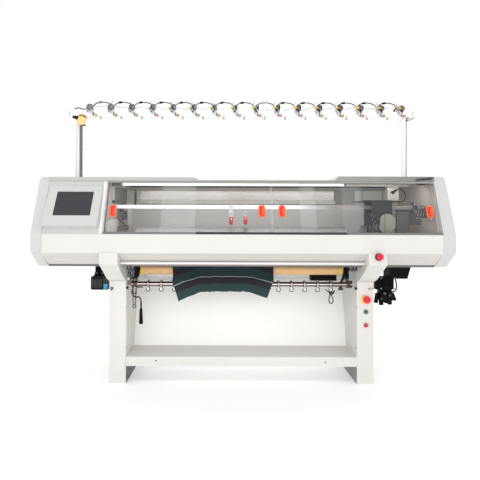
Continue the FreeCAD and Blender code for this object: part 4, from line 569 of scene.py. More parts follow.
    def bolt(self, centre, radius, look, outward=FRONT, hollow=True):
        """Socket screw head that stands on a face and points along outward."""
        c, d = Vector(centre), Vector(outward).normalized()
        profile = [(0, radius), (0.8, radius), (1, 0.86 * radius)]
        if hollow:
            profile += [(1, 0.5 * radius), (0.45, 0.48 * radius), (0.45, 0)]
        self.spun(c - d * 0.5, c + d * (0.7 * radius), profile, look, 16, False)

    def bolts(self, spots, radius, look, outward=FRONT):
        for spot in spots:
            self.bolt(spot, radius, look, outward)

    def place(self, *replaces):
        """Ends the mesh, puts it in the scene and lets it ride on its body."""
        bmesh.ops.recalc_face_normals(self.mesh, faces=self.mesh.faces)
        data = bpy.data.meshes.new(self.name)
        self.mesh.to_mesh(data)
        self.mesh.free()
        for look in self.looks:
            data.materials.append(LOOKS[look])
        made = new_object(self.name, data)
        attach(made, self.body)
        if replaces:
            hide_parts(*replaces)
        return made


def smooth_line(points, steps=6):
    """Catmull-Rom line through points, for wires that are bent by hand."""
    pts = [Vector(p) for p in points]
    pts = [2 * pts[0] - pts[1]] + pts + [2 * pts[-1] - pts[-2]]
    line = []
    for a, b, c, d in zip(pts, pts[1:], pts[2:], pts[3:]):
        for k in range(steps):
            t = k / steps
            line.append(0.5 * (2 * b + (c - a) * t + (2 * a - 5 * b + 4 * c - d) * t * t
                               + (3 * b - a - 3 * c + d) * t ** 3))
    return line + [pts[-2]]


def turned(axis, angle):
    return Matrix.Rotation(math.radians(angle), 3, axis)

# ---------------------------------------------------------------- jumper leads

BAR_Y = 500.0
BAR_LOW, BAR_TOP = (1000 * end.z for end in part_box("top_bar"))
UNIT_FIRST, UNIT_PITCH = -1097.25, 150.3
UNIT_FAN = (-62, -48, -36, -28, -28, -24, -20, -10, 4, 12, 18, 24, 28, 32, 38, 46)
UNIT_X = [UNIT_FIRST + UNIT_PITCH * i for i in range(len(UNIT_FAN))]
LEAD_Y, LEAD_FOOT, LEAD_RISE = 514.0, 1947.0, 30.0
LEAD_END, LEAD_RADIUS, LEAD_LENGTH = 3.0, 3.25, 0.163
# Share of the span and share of the rise at the points of a lead's arc.
LEAD_ARC = ((0.10, 0.55), (0.32, 1.0), (0.66, 0.98), (0.90, 0.55))
GREY_SLEEVE = 8


def spline_points(curve):
    """Points in metres along a curve that has no bevel yet."""
    bare = bpy.data.meshes.new_from_object(curve)
    points = [v.co.copy() for v in bare.vertices]
    bpy.data.meshes.remove(bare)
    return points


def cord_curve(name, points, radius, body="frame"):
    """One open NURBS spline with the points as its control points, and the line that it draws."""
    data = bpy.data.curves.new(name, "CURVE")
    data.dimensions = "3D"
    spline = data.splines.new("NURBS")
    spline.points.add(len(points) - 1)
    for spot, point in zip(spline.points, points):
        spot.co = (*point, 1.0)
    spline.order_u = 3
    spline.use_endpoint_u = True
    spline.resolution_u = 10
    made = new_object(name, data)
    line = spline_points(made)
    data.bevel_depth = radius / 1000
    data.bevel_resolution = 4
    data.use_fill_caps = True
    data.materials.append(LOOKS["lead_black"])
    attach(made, body)
    return made, line


def short_cable(name, points, radius, body="frame"):
    """Cable through points in mm."""
    route = [at(*p) for p in points]
    cable = cord_curve(name, route, radius, body)[0]


def sleeve(name, line, share, length, radius, look):
    """Shrink sleeve that follows a stretch of a cord's own line."""
    last = len(line) - 1
    low = high = middle = int(share * last)
    while low > 0 and (line[low] - line[middle]).length < length / 2000:
        low -= 1
    while high < last and (line[high] - line[middle]).length < length / 2000:
        high += 1
    run = [(p.x * 1000, p.y * 1000 + MID, p.z * 1000) for p in line[low:high + 1]]
    sizes = [radius * (0.72 if i in (0, len(run) - 1) else 1.0) for i in range(len(run))]
    piece = Piece(name, "frame", "lead_black")
    piece.pipe(run, sizes, look, 14)
    return piece.place()


for i, (left, right) in enumerate(zip(UNIT_X, UNIT_X[1:])):
    x0, x1 = left + LEAD_END, right - LEAD_END
    route = [at(x0, LEAD_Y, LEAD_FOOT)]
    route += [at(x0 + s * (x1 - x0), LEAD_Y, LEAD_FOOT + rise * LEAD_RISE) for s, rise in LEAD_ARC]
    route += [at(x1, LEAD_Y, LEAD_FOOT)]
    lead, line = cord_curve(f"jumper_lead_{i + 1:02d}", route, LEAD_RADIUS)
    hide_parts("jumper_leads")
    cover = sleeve(f"lead_sleeve_{i + 1:02d}", line, 0.40, 25.0, 7.4,
                   "sleeve_grey" if i == GREY_SLEEVE else "sleeve_black")

# ---------------------------------------------------------------- knitted cloth

CLOTH_THICK, CLOTH_COLUMNS, CLOTH_ROWS = 2.2, 120, 96
# Rear face: (y, z) from the beds down to below the hem. Sides: (z, x). Hem: (x, z).
CLOTH_RUN = [(321.3, 1045), (321.3, 1028), (320.0, 1004), (304.0, 945), (281.0, 865), (265.5, 808),
             (260.5, 782), (257.0, 760), (242.0, 729), (226.0, 700), (219.5, 668),
             (217.5, 634), (217.0, 590), (217.0, 545)]
CLOTH_LEFT = [(1045, -474), (800, -474), (735, -467), (690, -471), (640, -451), (600, -438), (540, -420)]
CLOTH_RIGHT = [(1045, 218), (800, 218), (705, 217), (668, 201), (588, 172), (540, 160)]
CLOTH_HEM = [(-480, 545), (-426, 564), (-370, 588), (-314, 611), (-275, 623), (-164, 629), (-9, 628),
             (58, 623), (105, 605), (172, 588), (220, 578)]


def eased(table, steps=6):
    """The table with a smooth curve through its rows."""
    return [(p.x, p.y) for p in smooth_line([(a, b, 0) for a, b in table], steps)]


def between(table, value):
    """Straight-line reading of a table whose first column rises or falls."""
    rows = table if table[0][0] < table[-1][0] else table[::-1]
    if value <= rows[0][0]:
        return rows[0][1]
    for (a, p), (b, q) in zip(rows, rows[1:]):
        if value <= b:
            return p + (q - p) * (value - a) / (b - a)
    return rows[-1][1]


def knitted_piece():
    hem = eased(CLOTH_HEM)
    fine = smooth_line([(0, y, z) for y, z in CLOTH_RUN], 12)
    travel = [0.0]
    for a, b in zip(fine, fine[1:]):
        travel.append(travel[-1] + (b - a).length)
    by_height = [(p.z, s) for p, s in zip(fine, travel)]
    depth_at = [(s, p.y) for p, s in zip(fine, travel)]
    height_at = [(s, p.z) for p, s in zip(fine, travel)]
    columns, rows = CLOTH_COLUMNS, CLOTH_ROWS
    front, rear, marks = [], [], []

    def column_x(z):
        return between(CLOTH_LEFT, z) * (1 - u) + between(CLOTH_RIGHT, z) * u

    for c in range(columns + 1):
        u = c / columns
        z_end = 600.0
        for _ in range(12):
            x = column_x(z_end)
            ragged = 2.2 * math.sin(x / 6.5) * max(0.0, math.sin(x / 37 + 1.2)) + 1.4 * math.sin(x / 15 + 0.7)
            z_end = between(hem, x) + ragged
        s_end = between(by_height, z_end)
        for r in range(rows + 1):
            s = s_end * r / rows
            y, z = between(depth_at, s), between(height_at, s)
            x = column_x(z)
            loose = min(1.0, max(0.0, (705 - z) / 110))
            wave = 5 * math.cos(2.1 * (x + 470) / 85)
            wave = wave + 1.6 * math.sin(x / 19 + z / 60) + 0.8 * math.sin(x / 8 - z / 25)
            curl = 3.0 * max(0.0, 1 - (s_end - s) / 18) ** 2
            y += loose * (wave * 0.9) - loose * curl
            y -= (1.0 - loose) * 0.5 * math.sin(x / 31) * min(1.0, max(0.0, (800 - z) / 40))
            rear.append(at(x, y, z))
            front.append(at(x, y - CLOTH_THICK, z))
            marks.append((x, s_end - s, 0.0))
    wide = rows + 1
    count = len(front)
    faces = []
    for c in range(columns):
        for r in range(rows):
            a = c * wide + r
            faces.append((a, a + 1, a + wide + 1, a + wide))
            faces.append((a + count, a + wide + count, a + wide + 1 + count, a + 1 + count))
    rim = [(c * wide, (c + 1) * wide) for c in range(columns)]
    rim += [(columns * wide + r, columns * wide + r + 1) for r in range(rows)]
    rim += [((c + 1) * wide + rows, c * wide + rows) for c in range(columns - 1, -1, -1)]
    rim += [(r + 1, r) for r in range(rows - 1, -1, -1)]
    faces += [(a, b, b + count, a + count) for a, b in rim]
    data = bpy.data.meshes.new("knitted_piece")
    data.from_pydata(front + rear, [], faces)
    data.validate()
    store = data.attributes.new("rows", "FLOAT_VECTOR", "POINT")
    store.data.foreach_set("vector", [n for mark in marks + marks for n in mark])
    for face in data.polygons:
        face.use_smooth = True
    data.materials.append(LOOKS["knit"])
    cloth = new_object("knitted_piece", data)
    tidy = bmesh.new()
    tidy.from_mesh(data)
    bmesh.ops.recalc_face_normals(tidy, faces=tidy.faces)
    tidy.to_mesh(data)
    tidy.free()
    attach(cloth, "frame")
    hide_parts("knitted_cloth")


knitted_piece()

# ---------------------------------------------------------------- tension units

BALL_TINTS = {"yellow": (206, 190, 58), "lime": (158, 168, 52), "olive": (176, 160, 50),
              "brown": (206, 142, 72), "salmon": (216, 150, 96), "orange": (224, 150, 62)}
BALL_ORDER = ("yellow", "lime", "olive", "brown", "brown", "lime", "salmon", "salmon", "brown", "salmon",
              "brown", "salmon", "orange", "orange", "lime", "orange")
KNOB_TINTS = {"white": (224, 224, 222), "pink": (228, 200, 184), "yellow": (214, 208, 60),
              "gold": (236, 190, 58)}
KNOB_ORDER = ("white", "white", "white", "pink") + ("yellow",) * 5 + ("gold",) * 7
BALL_Y, BALL_LIFT = 458.0, 11.0
for prefix, table, rough in (("lamp_ball", BALL_TINTS, 0.25), ("knob", KNOB_TINTS, 0.35)):
    for key, rgb in table.items():
        coated(f"{prefix}_{key}", rgb, rough, 900, 60, 0.06, 40)


def tension_unit(number, x, yaw):
    unit = Piece(f"tension_unit_{number:02d}", "frame", "unit_grey")
    turn = turned("Z", yaw)
    pivot = Vector((x, BAR_Y, 0))

    def swung(dx, y, z):
        return pivot + turn @ Vector((dx, y - BAR_Y, z + BAR_TOP))

    # saddle on the bar, with its grub screws
    unit.box((x - 12, x + 12), (476, 524), (BAR_TOP, BAR_TOP + 11.5), "zinc", 2.0)
    for sy in (482, 518):
        unit.bolt((x + 7, sy, BAR_TOP + 11.5), 2.6, "dark_bolt", (0, 0, 1))
    unit.box((x - 11, x + 11), (473.5, 479.5), (BAR_TOP - 17, BAR_TOP + 6), "zinc", 1.2)
    unit.bolt((x, 473.5, BAR_TOP - 9), 3.4, "chrome")
    # housing
    unit.boxes(
        (x - 5, x + 7, 487, 520, BAR_TOP + 11, BAR_TOP + 42, "unit_grey", 2.4),
        (x - 5.6, x + 7.6, 492, 508, BAR_TOP + 18, BAR_TOP + 37, "nylon_white", 1.0))
    unit.rod((x - 20, 490, BAR_TOP + 38), (x - 3, 490, BAR_TOP + 38), 3.6, "chrome", 14, 0.6)
    # discs, felt, spring and spindle
    y, z = 478.0, 25.0
    disc = [(0, 24), (0.3, 24.0), (0.42, 22.6), (0.8, 13), (1.0, 11.5)]
    for dx, profile in ((7.0, disc), (16.0, [(1 - share, radius) for share, radius in disc[::-1]])):
        unit.spun(swung(dx, y, z), swung(dx + 5.0, y, z), profile, "disc_steel", 36)
    unit.rod(swung(12.0, y, z), swung(16.0, y, z), 10.5, "nylon_black", 20)
    unit.rod(swung(-10, y, z), swung(25, y, z), 3.0, "chrome", 14, 0.8)
    coil = [swung(21.4 + 3.2 * k / 28, y + 6.4 * math.sin(k * 0.9), z + 6.4 * math.cos(k * 0.9))
            for k in range(29)]
    unit.pipe(coil, 0.8, "chrome", 6)
    # knob with a ribbed skirt
    knob = "knob_" + KNOB_ORDER[number - 1]
    skirt = [(0, 6.5), (0.05, 9.0), (0.36, 9.0), (0.42, 7.6), (0.86, 6.6), (0.96, 5.4), (1, 3.8)]
    unit.spun(swung(-5, y, z), swung(-31, y, z), skirt, knob, 28)
    for t in circle(14):
        dy, dz = 8.9 * math.cos(t), 8.9 * math.sin(t)
        unit.rod(swung(-6, y + dy, z + dz), swung(-13.6, y + dy, z + dz), 0.9, knob, 6)
    # guard, lever and the lamp's bracket in front
    guard = ((-9, 470, 16), (-2, 462, 20), (6, 459, 14), (11, 462, 4), (12, 470, -6))
    unit.wire([swung(*p) for p in guard], 1.5, "chrome")
    lever = ((-15, 471, 15), (-8, 466, 9), (2, 465, -2), (10, 466, -12))
    unit.wire([swung(*p) for p in lever], 3.0, "nylon_black", 10)
    unit.box((x + 2, x + 13), (466, 475), (BAR_TOP - 30, BAR_TOP - 10), "nylon_white", 2.0,
             turned("Z", yaw * 0.4))
    unit.wire([(x - 3, 470, BAR_TOP - 4), (x + 1, 466, BAR_TOP - 14), (x + 4, 468, BAR_TOP - 24)], 2.2,
              "chrome")
    unit.box((x + 13, x + 19), (464, 474), (BAR_TOP - 37, BAR_TOP - 14), "nylon_black", 1.5)
    # indicator ball on its stem
    ball_x, ball_z = x + 35, BAR_LOW + BALL_LIFT
    unit.rods(
        (ball_x, 480, ball_z, ball_x, BALL_Y + 6, ball_z, 4.0, "nylon_black", 14),
        (ball_x, BALL_Y + 9.5, ball_z, ball_x, BALL_Y + 5.5, ball_z, 8.6, "nylon_black", 22, 0.8))
    dome = [(0.5 - 0.5 * math.cos(math.pi * k / 12), 10 * math.sin(math.pi * k / 12)) for k in range(13)]
    unit.spun((ball_x, BALL_Y + 8, ball_z), (ball_x, BALL_Y - 9.9, ball_z), dome,
              "lamp_ball_" + BALL_ORDER[number - 1], 24)
    unit.box((x + 18, x + 33), (467, 471), (ball_z - 3, ball_z + 3), "nylon_black", 0.8)
    # yarn eye under the bar
    eye_x = x + 68
    unit.rod((eye_x, 486, BAR_LOW + 8), (eye_x, 486, BAR_LOW - 2.5), 2.6, "dark_bolt", 12)
    unit.box((eye_x - 7, eye_x + 7), (478, 484), (BAR_LOW + 3, BAR_LOW + 8), "eye_grey", 1.0)
    unit.pipe(hoop(eye_x, 486, BAR_LOW - 7, 5.2, circle(18)), 1.9, "eye_grey", 7, True)
    # rear arm with its ceramic eye
    unit.rod(swung(0, 500, 36), swung(0, 705, 54), 1.9, "wire_steel", 10)
    unit.pipe([swung(*p) for p in hoop(0, 705, 61, 5.6, circle(20))], 1.4, "ceramic", 8, True)
    unit.place("tension_units")


for i, (x, yaw) in enumerate(zip(UNIT_X, UNIT_FAN)):
    tension_unit(i + 1, x, yaw)

# plug where the last lead goes in
LAST_X = UNIT_X[-1]
plug = Piece("last_lead_plug", "frame", "lead_black")
plug.rod((LAST_X - 24, 505, BAR_TOP + 16), (LAST_X - 9, 511, BAR_TOP + 30), 5.5, "nylon_black", 16, 1.2)
plug.box((LAST_X - 30, LAST_X - 19), (498, 511), (BAR_TOP - 0.5, BAR_TOP + 18), "nylon_black", 2.0)
plug.place()

# ---------------------------------------------------------------- inside, behind the doors

BED_END, NEEDLE_PITCH = 727.0, 4.0
# The left wall's face, the rear cover's inner and outer faces, and the height of the tube.
WALL_X, REAR_IN, REAR_OUT, TUBE_Z = -872.5, 717.2, 719.2, 1346.5


def bed_walls():
    """Thin walls between the needle tricks, and the needles' hooks at the throat."""
    front = Piece("front_bed_tricks", "frame", "bed_steel")
    rear = Piece("rear_bed_tricks", "rear_bed", "bed_steel")
    count = int(BED_END / NEEDLE_PITCH)
    for i in range(-count, count + 1):
        x = i * NEEDLE_PITCH
        front.prism([(193, 934.8), (317, 1058.8), (317, 1062.4), (193, 938.4)],
                    "x", x - 0.6, x + 0.6, "trick_steel")
        rear.prism([(333, 1058.8), (457, 934.8), (457, 938.4), (333, 1062.4)],
                   "x", x - 0.6, x + 0.6, "trick_steel")
        front.box((x + 1.6, x + 2.4), (308, 319.5), (1054.5, 1057.0), "needle_steel", 0, turned("X", 45))
        rear.box((x + 1.6, x + 2.4), (330.5, 342), (1054.5, 1057.0), "needle_steel", 0, turned("X", -45))
    front.place()
    rear.place()


def door_pulls(name, body, node, centres, y):
    """Pulls of a rounded rim, a core and a grip, on a door sheet at depth y."""
    up = Vector((0, math.sin(DOOR_LEAN), math.cos(DOOR_LEAN)))
    out = Vector((0, -math.cos(DOOR_LEAN), math.sin(DOOR_LEAN)))
    piece = Piece(name, body, "pull_orange")
    half, tall, corner = 18.0, 37.0, 12.0
    for cx in centres:
        c = Vector((cx, y, 1168))
        path = []
        for sx, sv, start in ((1, 1, 0), (-1, 1, 90), (-1, -1, 180), (1, -1, 270)):
            for k in range(5):
                t = math.radians(start + 22.5 * k)
                u = sx * (half - corner) + corner * math.cos(t)
                path.append(c + Vector((u, 0, 0)) + up * (sv * (tall - corner) + corner * math.sin(t)))
        piece.pipe([p + out * 3 for p in path], 4.6, "pull_rim", 10, True)
        core = [at(*(p - out * 5)) for p in path] + [at(*(p + out * 0.5)) for p in path]
        piece.add(core, drum(len(path)), "pull_core")
        grip = c + out * 2.5 + Vector((7, 0, 0))
        piece.rod(grip - up * 24, grip + up * 24, 4.2, "pull_rim", 12, 1.5)
    piece.place(node)


def light_tubes():
    piece = Piece("light_tubes", "frame", "lamp_white")
    piece.box((-810, 1106), (166, 191), (1357.5, 1368), "grey_plate", 1.2)
    # Painted light: the left stretch of the tube glows so it looks white, though the tube is not lit; the
    # right stretch is the same tube in a darker painted shade.
    piece.rods(
        (-794, 178, TUBE_Z, 674, 178, TUBE_Z, 8.4, "tube_lit", 20),
        (690, 178, TUBE_Z, 1092, 178, TUBE_Z, 9.4, "lamp_off", 20))
    for a, b in ((-806, -794), (674, 690), (1092, 1104)):
        piece.rod((a, 178, TUBE_Z), (b, 178, TUBE_Z), 11.0, "grey_plate", 20, 1.5)
        piece.box(((a + b) / 2 - 4, (a + b) / 2 + 4), (170, 188), (1346, 1359), "grey_plate", 0.8)
    for x in (-600, -260, 80, 420, 760, 1030):
        piece.bolt((x, 166, 1362.5), 2.6, "chrome")
    piece.place("light_bar")


def rear_fittings():
    piece = Piece("rear_fittings", "frame", "cover_paint")
    # Painted shadow: the first two boxes, a dark strip and a grey band along the top of the rear wall, stand
    # in for the shade under the hood.
    piece.boxes(
        (-862, 1240, 700, REAR_IN, 1359, 1367, "rubber", 1.5),
        (-862, 1240, 701, REAR_IN, 1338, 1358.6, "band_grey", 1.5),
        (-790, 750, 707, REAR_IN, 1228, 1260, "rear_pale", 1.5),
        (-860, 1240, 706, REAR_IN, 1196, 1222, "pale_plate", 1.5))
    for x in (-760, -520, -140, 5, 98, 222, 480, 700):
        piece.rod((x, REAR_IN, 1322), (x, 707, 1322), 6.5, "ceramic", 16, 1.5)
    for x in range(-700, 701, 200):
        piece.bolt((x, 706, 1242), 4.0, "chrome")
    piece.boxes(
        (WALL_X, -822, 690, REAR_IN, 1200, 1332, "pale_plate", 1.5),
        (-824, -813, 686, REAR_IN, 1196, 1336, "rubber", 1.0))
    piece.bolt((-818, 686, 1322), 5.5, "chrome")
    # Painted light: the plate's right part, behind the carriage, is made pale to make up for the carriage's
    # shadow on it.
    piece.boxes(
        (744, 900, 709, REAR_IN, 1228, 1337, "grey_plate", 1.2),
        (903, 1240, 709, REAR_IN, 1228, 1337, "rear_pale", 1.2))
    for x in (800, 960, 1120):
        piece.box((x, x + 3), (706, 709), (1232, 1333), "rubber", 0.6)
    piece.place()
    pane = Piece("rear_pane", "frame", "cover_paint")
    pane.box((-786, 746), (713, 715.5), (1226, 1338), "pane", 0.8)
    pane.place()


def wall_fittings():
    piece = Piece("left_wall_fittings", "frame", "track_alloy")
    piece.boxes(
        (WALL_X, -865, 270, 545, 1243, 1338, "wall_grey", 1.5),
        (WALL_X, -864, 606, 700, 1215, 1334, "rear_pale", 1.5),
        (WALL_X, -862, 556, 602, 1215, 1338, "wall_grey", 1.5),
        (-872, -806, 192, 208, 1336, 1366, "side_grey", 2.0),
        (WALL_X, -864, 186, 214, 1240, 1338, "pale_plate", 1.5),
        (WALL_X, -867, 222, 238, 1240, 1338, "pale_plate", 1.2),
        (WALL_X, -852, 205, 500, 1224, 1239, "nylon_black", 2.0))
    for y in (230, 275, 330, 400, 470):
        piece.rod((-852.5, y, 1231), (-847, y, 1231), 5.0, "chrome", 12, 1.0)
    piece.boxes(
        (WALL_X, -856, 352, 470, 1120, 1190, "wall_grey", 2.0),
        (WALL_X, -853, 480, 560, 1105, 1170, "side_grey", 2.0),
        (WALL_X, -858, 350, 640, 1038, 1062, "grey_plate", 2.0))
    for y, z, r in ((368, 1172, 6), (404, 1172, 6), (440, 1172, 6), (500, 1150, 8), (540, 1128, 8),
                    (620, 1100, 7)):
        piece.rod((-857, y, z), (-848, y, z), r, "dark_bolt", 14, 1.2)
    piece.wire([(-868, 356, 1112), (-860, 384, 1100), (-856, 450, 1084), (-858, 520, 1066), (-862, 600, 1040),
                (-868, 650, 1030)], 4.0, "nylon_black")
    piece.prism([(56, 1024), (300, 1024), (412, 1112), (96, 1112)], "x", WALL_X, -867.5, "post_white", 1.0)
    piece.place()

    right = Piece("right_wall_fittings", "frame", "track_alloy")
    right.boxes(
        (1165, 1192, 254, 288, 1158, 1236, "side_grey", 2.0),
        (1190, 1246, 262, 282, 1190, 1208, "side_grey", 2.0))
    right.bolts([(1178, 254, 1222), (1178, 254, 1172)], 5.0, "chrome")
    right.box((1240, 1245.5), (300, 560), (1080, 1180), "grey_plate", 1.5)
    for x, wide, low in ((1150, 20, 1352), (1176, 26, 1347), (1210, 24, 1351)):
        right.box((x, x + wide), (150, 178), (low, 1368.2), "nylon_black", 2.0)
    right.wire([(1140, 165, 1362), (1150, 158, 1354), (1172, 162, 1351), (1206, 160, 1354),
                (1236, 163, 1360)], 3.4, "nylon_black")
    right.place()


def clamp_hooks():
    """Rack of yarn clamps at the right wall."""
    piece = Piece("yarn_clamp_rack", "frame", "carriage_black")
    piece.box((1140, 1243), (132, 154), (1186, 1204.5), "unit_black", 2.0)
    for i in range(5):
        x = 1148 + 10.5 * i
        piece.box((x, x + 6.5), (128.5, 133), (1191.5, 1199.5), "ceramic", 1.0)
    for i in range(6):
        x = 1141 + 17.5 * i
        piece.wire([(x + 8, 146, 1188), (x + 10, 140, 1172), (x + 4, 134, 1160), (x - 1, 132, 1147),
                    (x + 3, 133, 1133), (x + 9, 137, 1124), (x + 14, 140, 1132)], 3.6, "unit_black")
        piece.box((x + 2, x + 9), (133, 137), (1146, 1162), "ceramic", 1.0)
        piece.rods(
            (x + 4, 131, 1128, x + 4, 137, 1128, 4.2, "box_white", 12, 0.8),
            (x + 7, 150, 1180, x + 7, 134, 1176, 3.0, "chrome", 10, 0.6))
    piece.boxes(
        (1138, 1243, 147, 153, 1128, 1190, "wall_beige", 1.5),
        (1222, 1243, 131, 146, 1112, 1128, "box_white", 2.0))
    piece.bolt((1232, 131, 1120), 3.4, "dark_bolt")
    piece.place("yarn_clamp")


def carriage_parts():
    piece = Piece("carriage_fittings", "carriage", "carriage_black")
    piece.prism([(866, 1158), (972, 1158), (972, 1236), (1004, 1246.5), (800, 1246.5), (866, 1236)],
                "y", 176, 182.5, "carriage_black", 1.2)
    piece.bolts([(x, 176, z) for x in (878, 920, 960) for z in (1172, 1230)], 3.2, "dark_bolt")
    for i in range(7):
        top, foot, y, z = 836 + 13 * i, 858 + 7.5 * i, 172 + (i % 2) * 4, 1060 + 9 * (i % 3)
        piece.prism([(top, 1162), (top + 6.5, 1162), (foot + 5, 1036), (foot, 1036)],
                    "y", y, y + 3, "blade_black", 0.5)
        piece.rod((foot + 2.5, 173, z), (foot + 2.5, 169, z), 1.9, "chrome", 10, 0.4)
    for x, z in ((858, 1150), (872, 1138), (864, 1118), (882, 1104), (870, 1090), (892, 1084), (878, 1066),
                 (890, 1052), (868, 1048), (900, 1120), (888, 1144)):
        piece.box((x - 1.4, x + 1.4), (169.5, 173), (z - 5, z + 5), "ceramic", 0.8)
    piece.boxes(
        (846, 918, 171, 183, 1150, 1161, "blade_black", 1.5),
        (832, 912, 179, 184, 1030, 1160, "blade_black", 1.0),
        (846, 908, 177, 180, 1030, 1078, "side_grey", 1.0))
    # end cover on the right side of the cam boxes
    piece.boxes(
        (1034, 1122, 196, 212, 1022, 1178, "side_grey", 3.0),
        (1030, 1122, 192, 212, 1174, 1184, "nylon_black", 2.0),
        (1034, 1060, 205, 234, 1040, 1066, "side_grey", 2.0))
    piece.bolts([(1046, 196, 1034), (1110, 196, 1034), (1110, 196, 1164)], 3.4, "chrome")
    # shallow seams and rims of the two cream covers
    for y in (182, 468):
        piece.boxes(
            (951.5, 955.0, y - 0.6, y + 0.8, 1025, 1153, "seam_olive", 0.3),
            (946.5, 948.0, y - 0.5, y + 0.7, 1025, 1153, "seam_olive", 0.3))
    # connector box on the bridge, with its plug
    piece.boxes(
        (992, 1103, 326, 374, 1241, 1246.5, "side_grey", 1.0),
        (1019, 1103, 330, 370, 1246, 1345, "box_cream", 3.0),
        (1017, 1105, 328, 372, 1337, 1347, "box_cream", 2.0))
    for z in (1262, 1278, 1294):
        piece.box((1030, 1092), (328.6, 331), (z, z + 2), "seam_olive", 0.4)
    piece.rods(
        (1058, 331, 1306, 1058, 316, 1306, 11.0, "nylon_black", 20, 2.0),
        (1058, 317, 1306, 1076, 312, 1320, 7.5, "nylon_black", 16, 1.0))
    piece.bolts([(x, 330, z) for z in (1254, 1330) for x in (1026, 1096)], 2.8, "chrome")
    piece.box((1034, 1046), (243, 257), (1233, 1246), "nylon_black", 1.5)
    piece.place()
    short_cable("carriage_cable",
                ((1074, 312.5, 1318), (1096, 306, 1336), (1124, 298, 1316), (1134, 286, 1272),
                 (1112, 272, 1244), (1078, 258, 1236), (1045, 250, 1240)), 3.4, "carriage")


def feeder_eyes():
    """Nozzle plates and screws of the three feeders."""
    for number, x, y, z in ((1, -73, 252.3, 1106), (2, 26, 272.6, 1108), (3, -779, 333.0, 1078)):
        piece = Piece(f"feeder_eye_{number}", f"feeder_{number}", "feeder_red")
        if number < 3:
            piece.box((x - 12.6, x + 12.6), (y - 3.5, y + 2), (z - 26, z + 26), "feeder_red", 3.5)
            piece.rod((x, y - 5.5, z + 12), (x, y - 2, z + 12), 4.2, "chrome", 16, 0.8)
            piece.box((x - 8, x + 8), (y - 4.6, y - 2), (z - 18, z - 8), "knob_red", 1.0)
        else:
            piece.rod((x, y - 6, z), (x, y + 2, z), 13.0, "ceramic", 26, 2.0)
            piece.rod((x, y - 9, z), (x, y - 4, z), 6.5, "knob_red", 20, 1.2)
        piece.rod((x, y - 3, z + 44), (x, y + 2, z + 44), 3.4, "dark_bolt", 14, 0.6)
        piece.place()


def door_edges():
    """Polished edges of the two clear sheets, white strips down the left post that are a painted highlight of
    its edge, and the hood's ribbed cable guide.
    """
    for door in ("left_door", "right_door"):
        piece = Piece(f"{door}_edges", door, "door_clear")
        low, high = (1000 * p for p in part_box(door))
        depth = math.tan(DOOR_LEAN) * (high.z - low.z)
        back = high.y + MID - 5.2
        foot, head = low.z + 6, high.z - 6
        for x in (low.x + 1.6, high.x - 1.6):
            piece.prism([(back - depth, foot), (back, head), (back + 4.4, head), (back - depth + 4.4, foot)],
                        "x", x - 1.4, x + 1.4, "sheet_edge")
        piece.place()
    # Painted highlight: white strips down the left post's edge.
    post = Piece("left_post_highlight", "frame", "cap_plastic")
    foot, head = (3.6 + 0.392 * up for up in (5, 340))
    for x0, x1, proud in ((-905, -893, 1.0), (-889, -886, 1.4)):
        post.prism([(foot - proud, 1028), (head - proud, 1363), (head + 1.5, 1363), (foot + 1.5, 1028)],
                   "x", x0, x1, "post_white", 0.4)
    post.place()
    guide = Piece("cable_guide", "frame", "carriage_black")
    guide.prism([(1130, 1371), (1240, 1380), (1240, 1393), (1130, 1380)], "y", 122.5, 127.4, "side_grey", 1.0)
    for k in range(7):
        x, z = 1140 + 14 * k, 1372 + 1.5 * k
        guide.box((x, x + 7), (119.5, 124), (z, z + 12), "nylon_black", 1.0)
    guide.place()


def rear_details():
    """Seams, screws and louvres of the rear cover."""
    piece = Piece("rear_cover_details", "frame", "cover_paint")
    for x in (-425, 425):
        piece.box((x - 1.2, x + 1.2), (REAR_OUT, 720.4), (812, 1200), "recess_line", 0.3)
    piece.box((-1258, 1247), (REAR_OUT, 720.4), (1199, 1201.4), "recess_line", 0.3)
    piece.bolts([(x, 719.6, z) for x in (-1240, -1000, -700, -450, -400, -100, 200, 400, 450, 700, 1000, 1228)
                 for z in (826, 1184)], 4.6, "zinc", (0, 1, 0))
    for x0 in (-860, 620):
        for k in range(9):
            z = 930 + 18 * k
            piece.prism([(719.4, z), (724.0, z + 2), (719.4, z + 9)], "x", x0, x0 + 240, "cover_paint", 0.4)
            piece.box((x0 + 2, x0 + 238), (REAR_OUT, 720.6), (z - 3.2, z - 0.4), "recess_line", 0.3)
    for x0, x1 in ((-790, -782), (741, 749)):
        piece.box((x0, x1), (REAR_OUT, 722.0), (1224, 1340), "grey_plate", 1.0)
    for z in (1222, 1336):
        piece.box((-790, 749), (REAR_OUT, 722.0), (z, z + 6), "grey_plate", 1.0)
    piece.place()


def track_shadow_strip():
    # Painted shadow: a dark strip along the lower door track stands in for the shade in its groove.
    piece = Piece("track_painted_shadow", "frame", "track_alloy")
    piece.box((-297, 651), (0.8, 3.6), (1022.6, 1038), "rubber", 0.6)
    piece.place()


bed_walls()
door_pulls("left_pulls", "left_door", "left_door_pulls", (-829, 120), 55.5)
door_pulls("right_pulls", "right_door", "right_door_pulls", (251, 1200), 75.8)
light_tubes()
rear_fittings()
wall_fittings()
clamp_hooks()
carriage_parts()
feeder_eyes()
track_shadow_strip()
door_edges()
rear_details()

# ---------------------------------------------------------------- below the covers

LEVER_FIRST, LEVER_STEP, LEVERS = -636.0, 88.75, 15
SHAFT_Y, SHAFT_Z = 249.6, 674.0
ROLLER_Y, ROLLER_Z = 299.6, 767
GEAR_Y, GEAR_Z = 318, 706
BRACKET_NEAR, BRACKET_FAR, LEG_INNER = 710.0, 726.0, 783


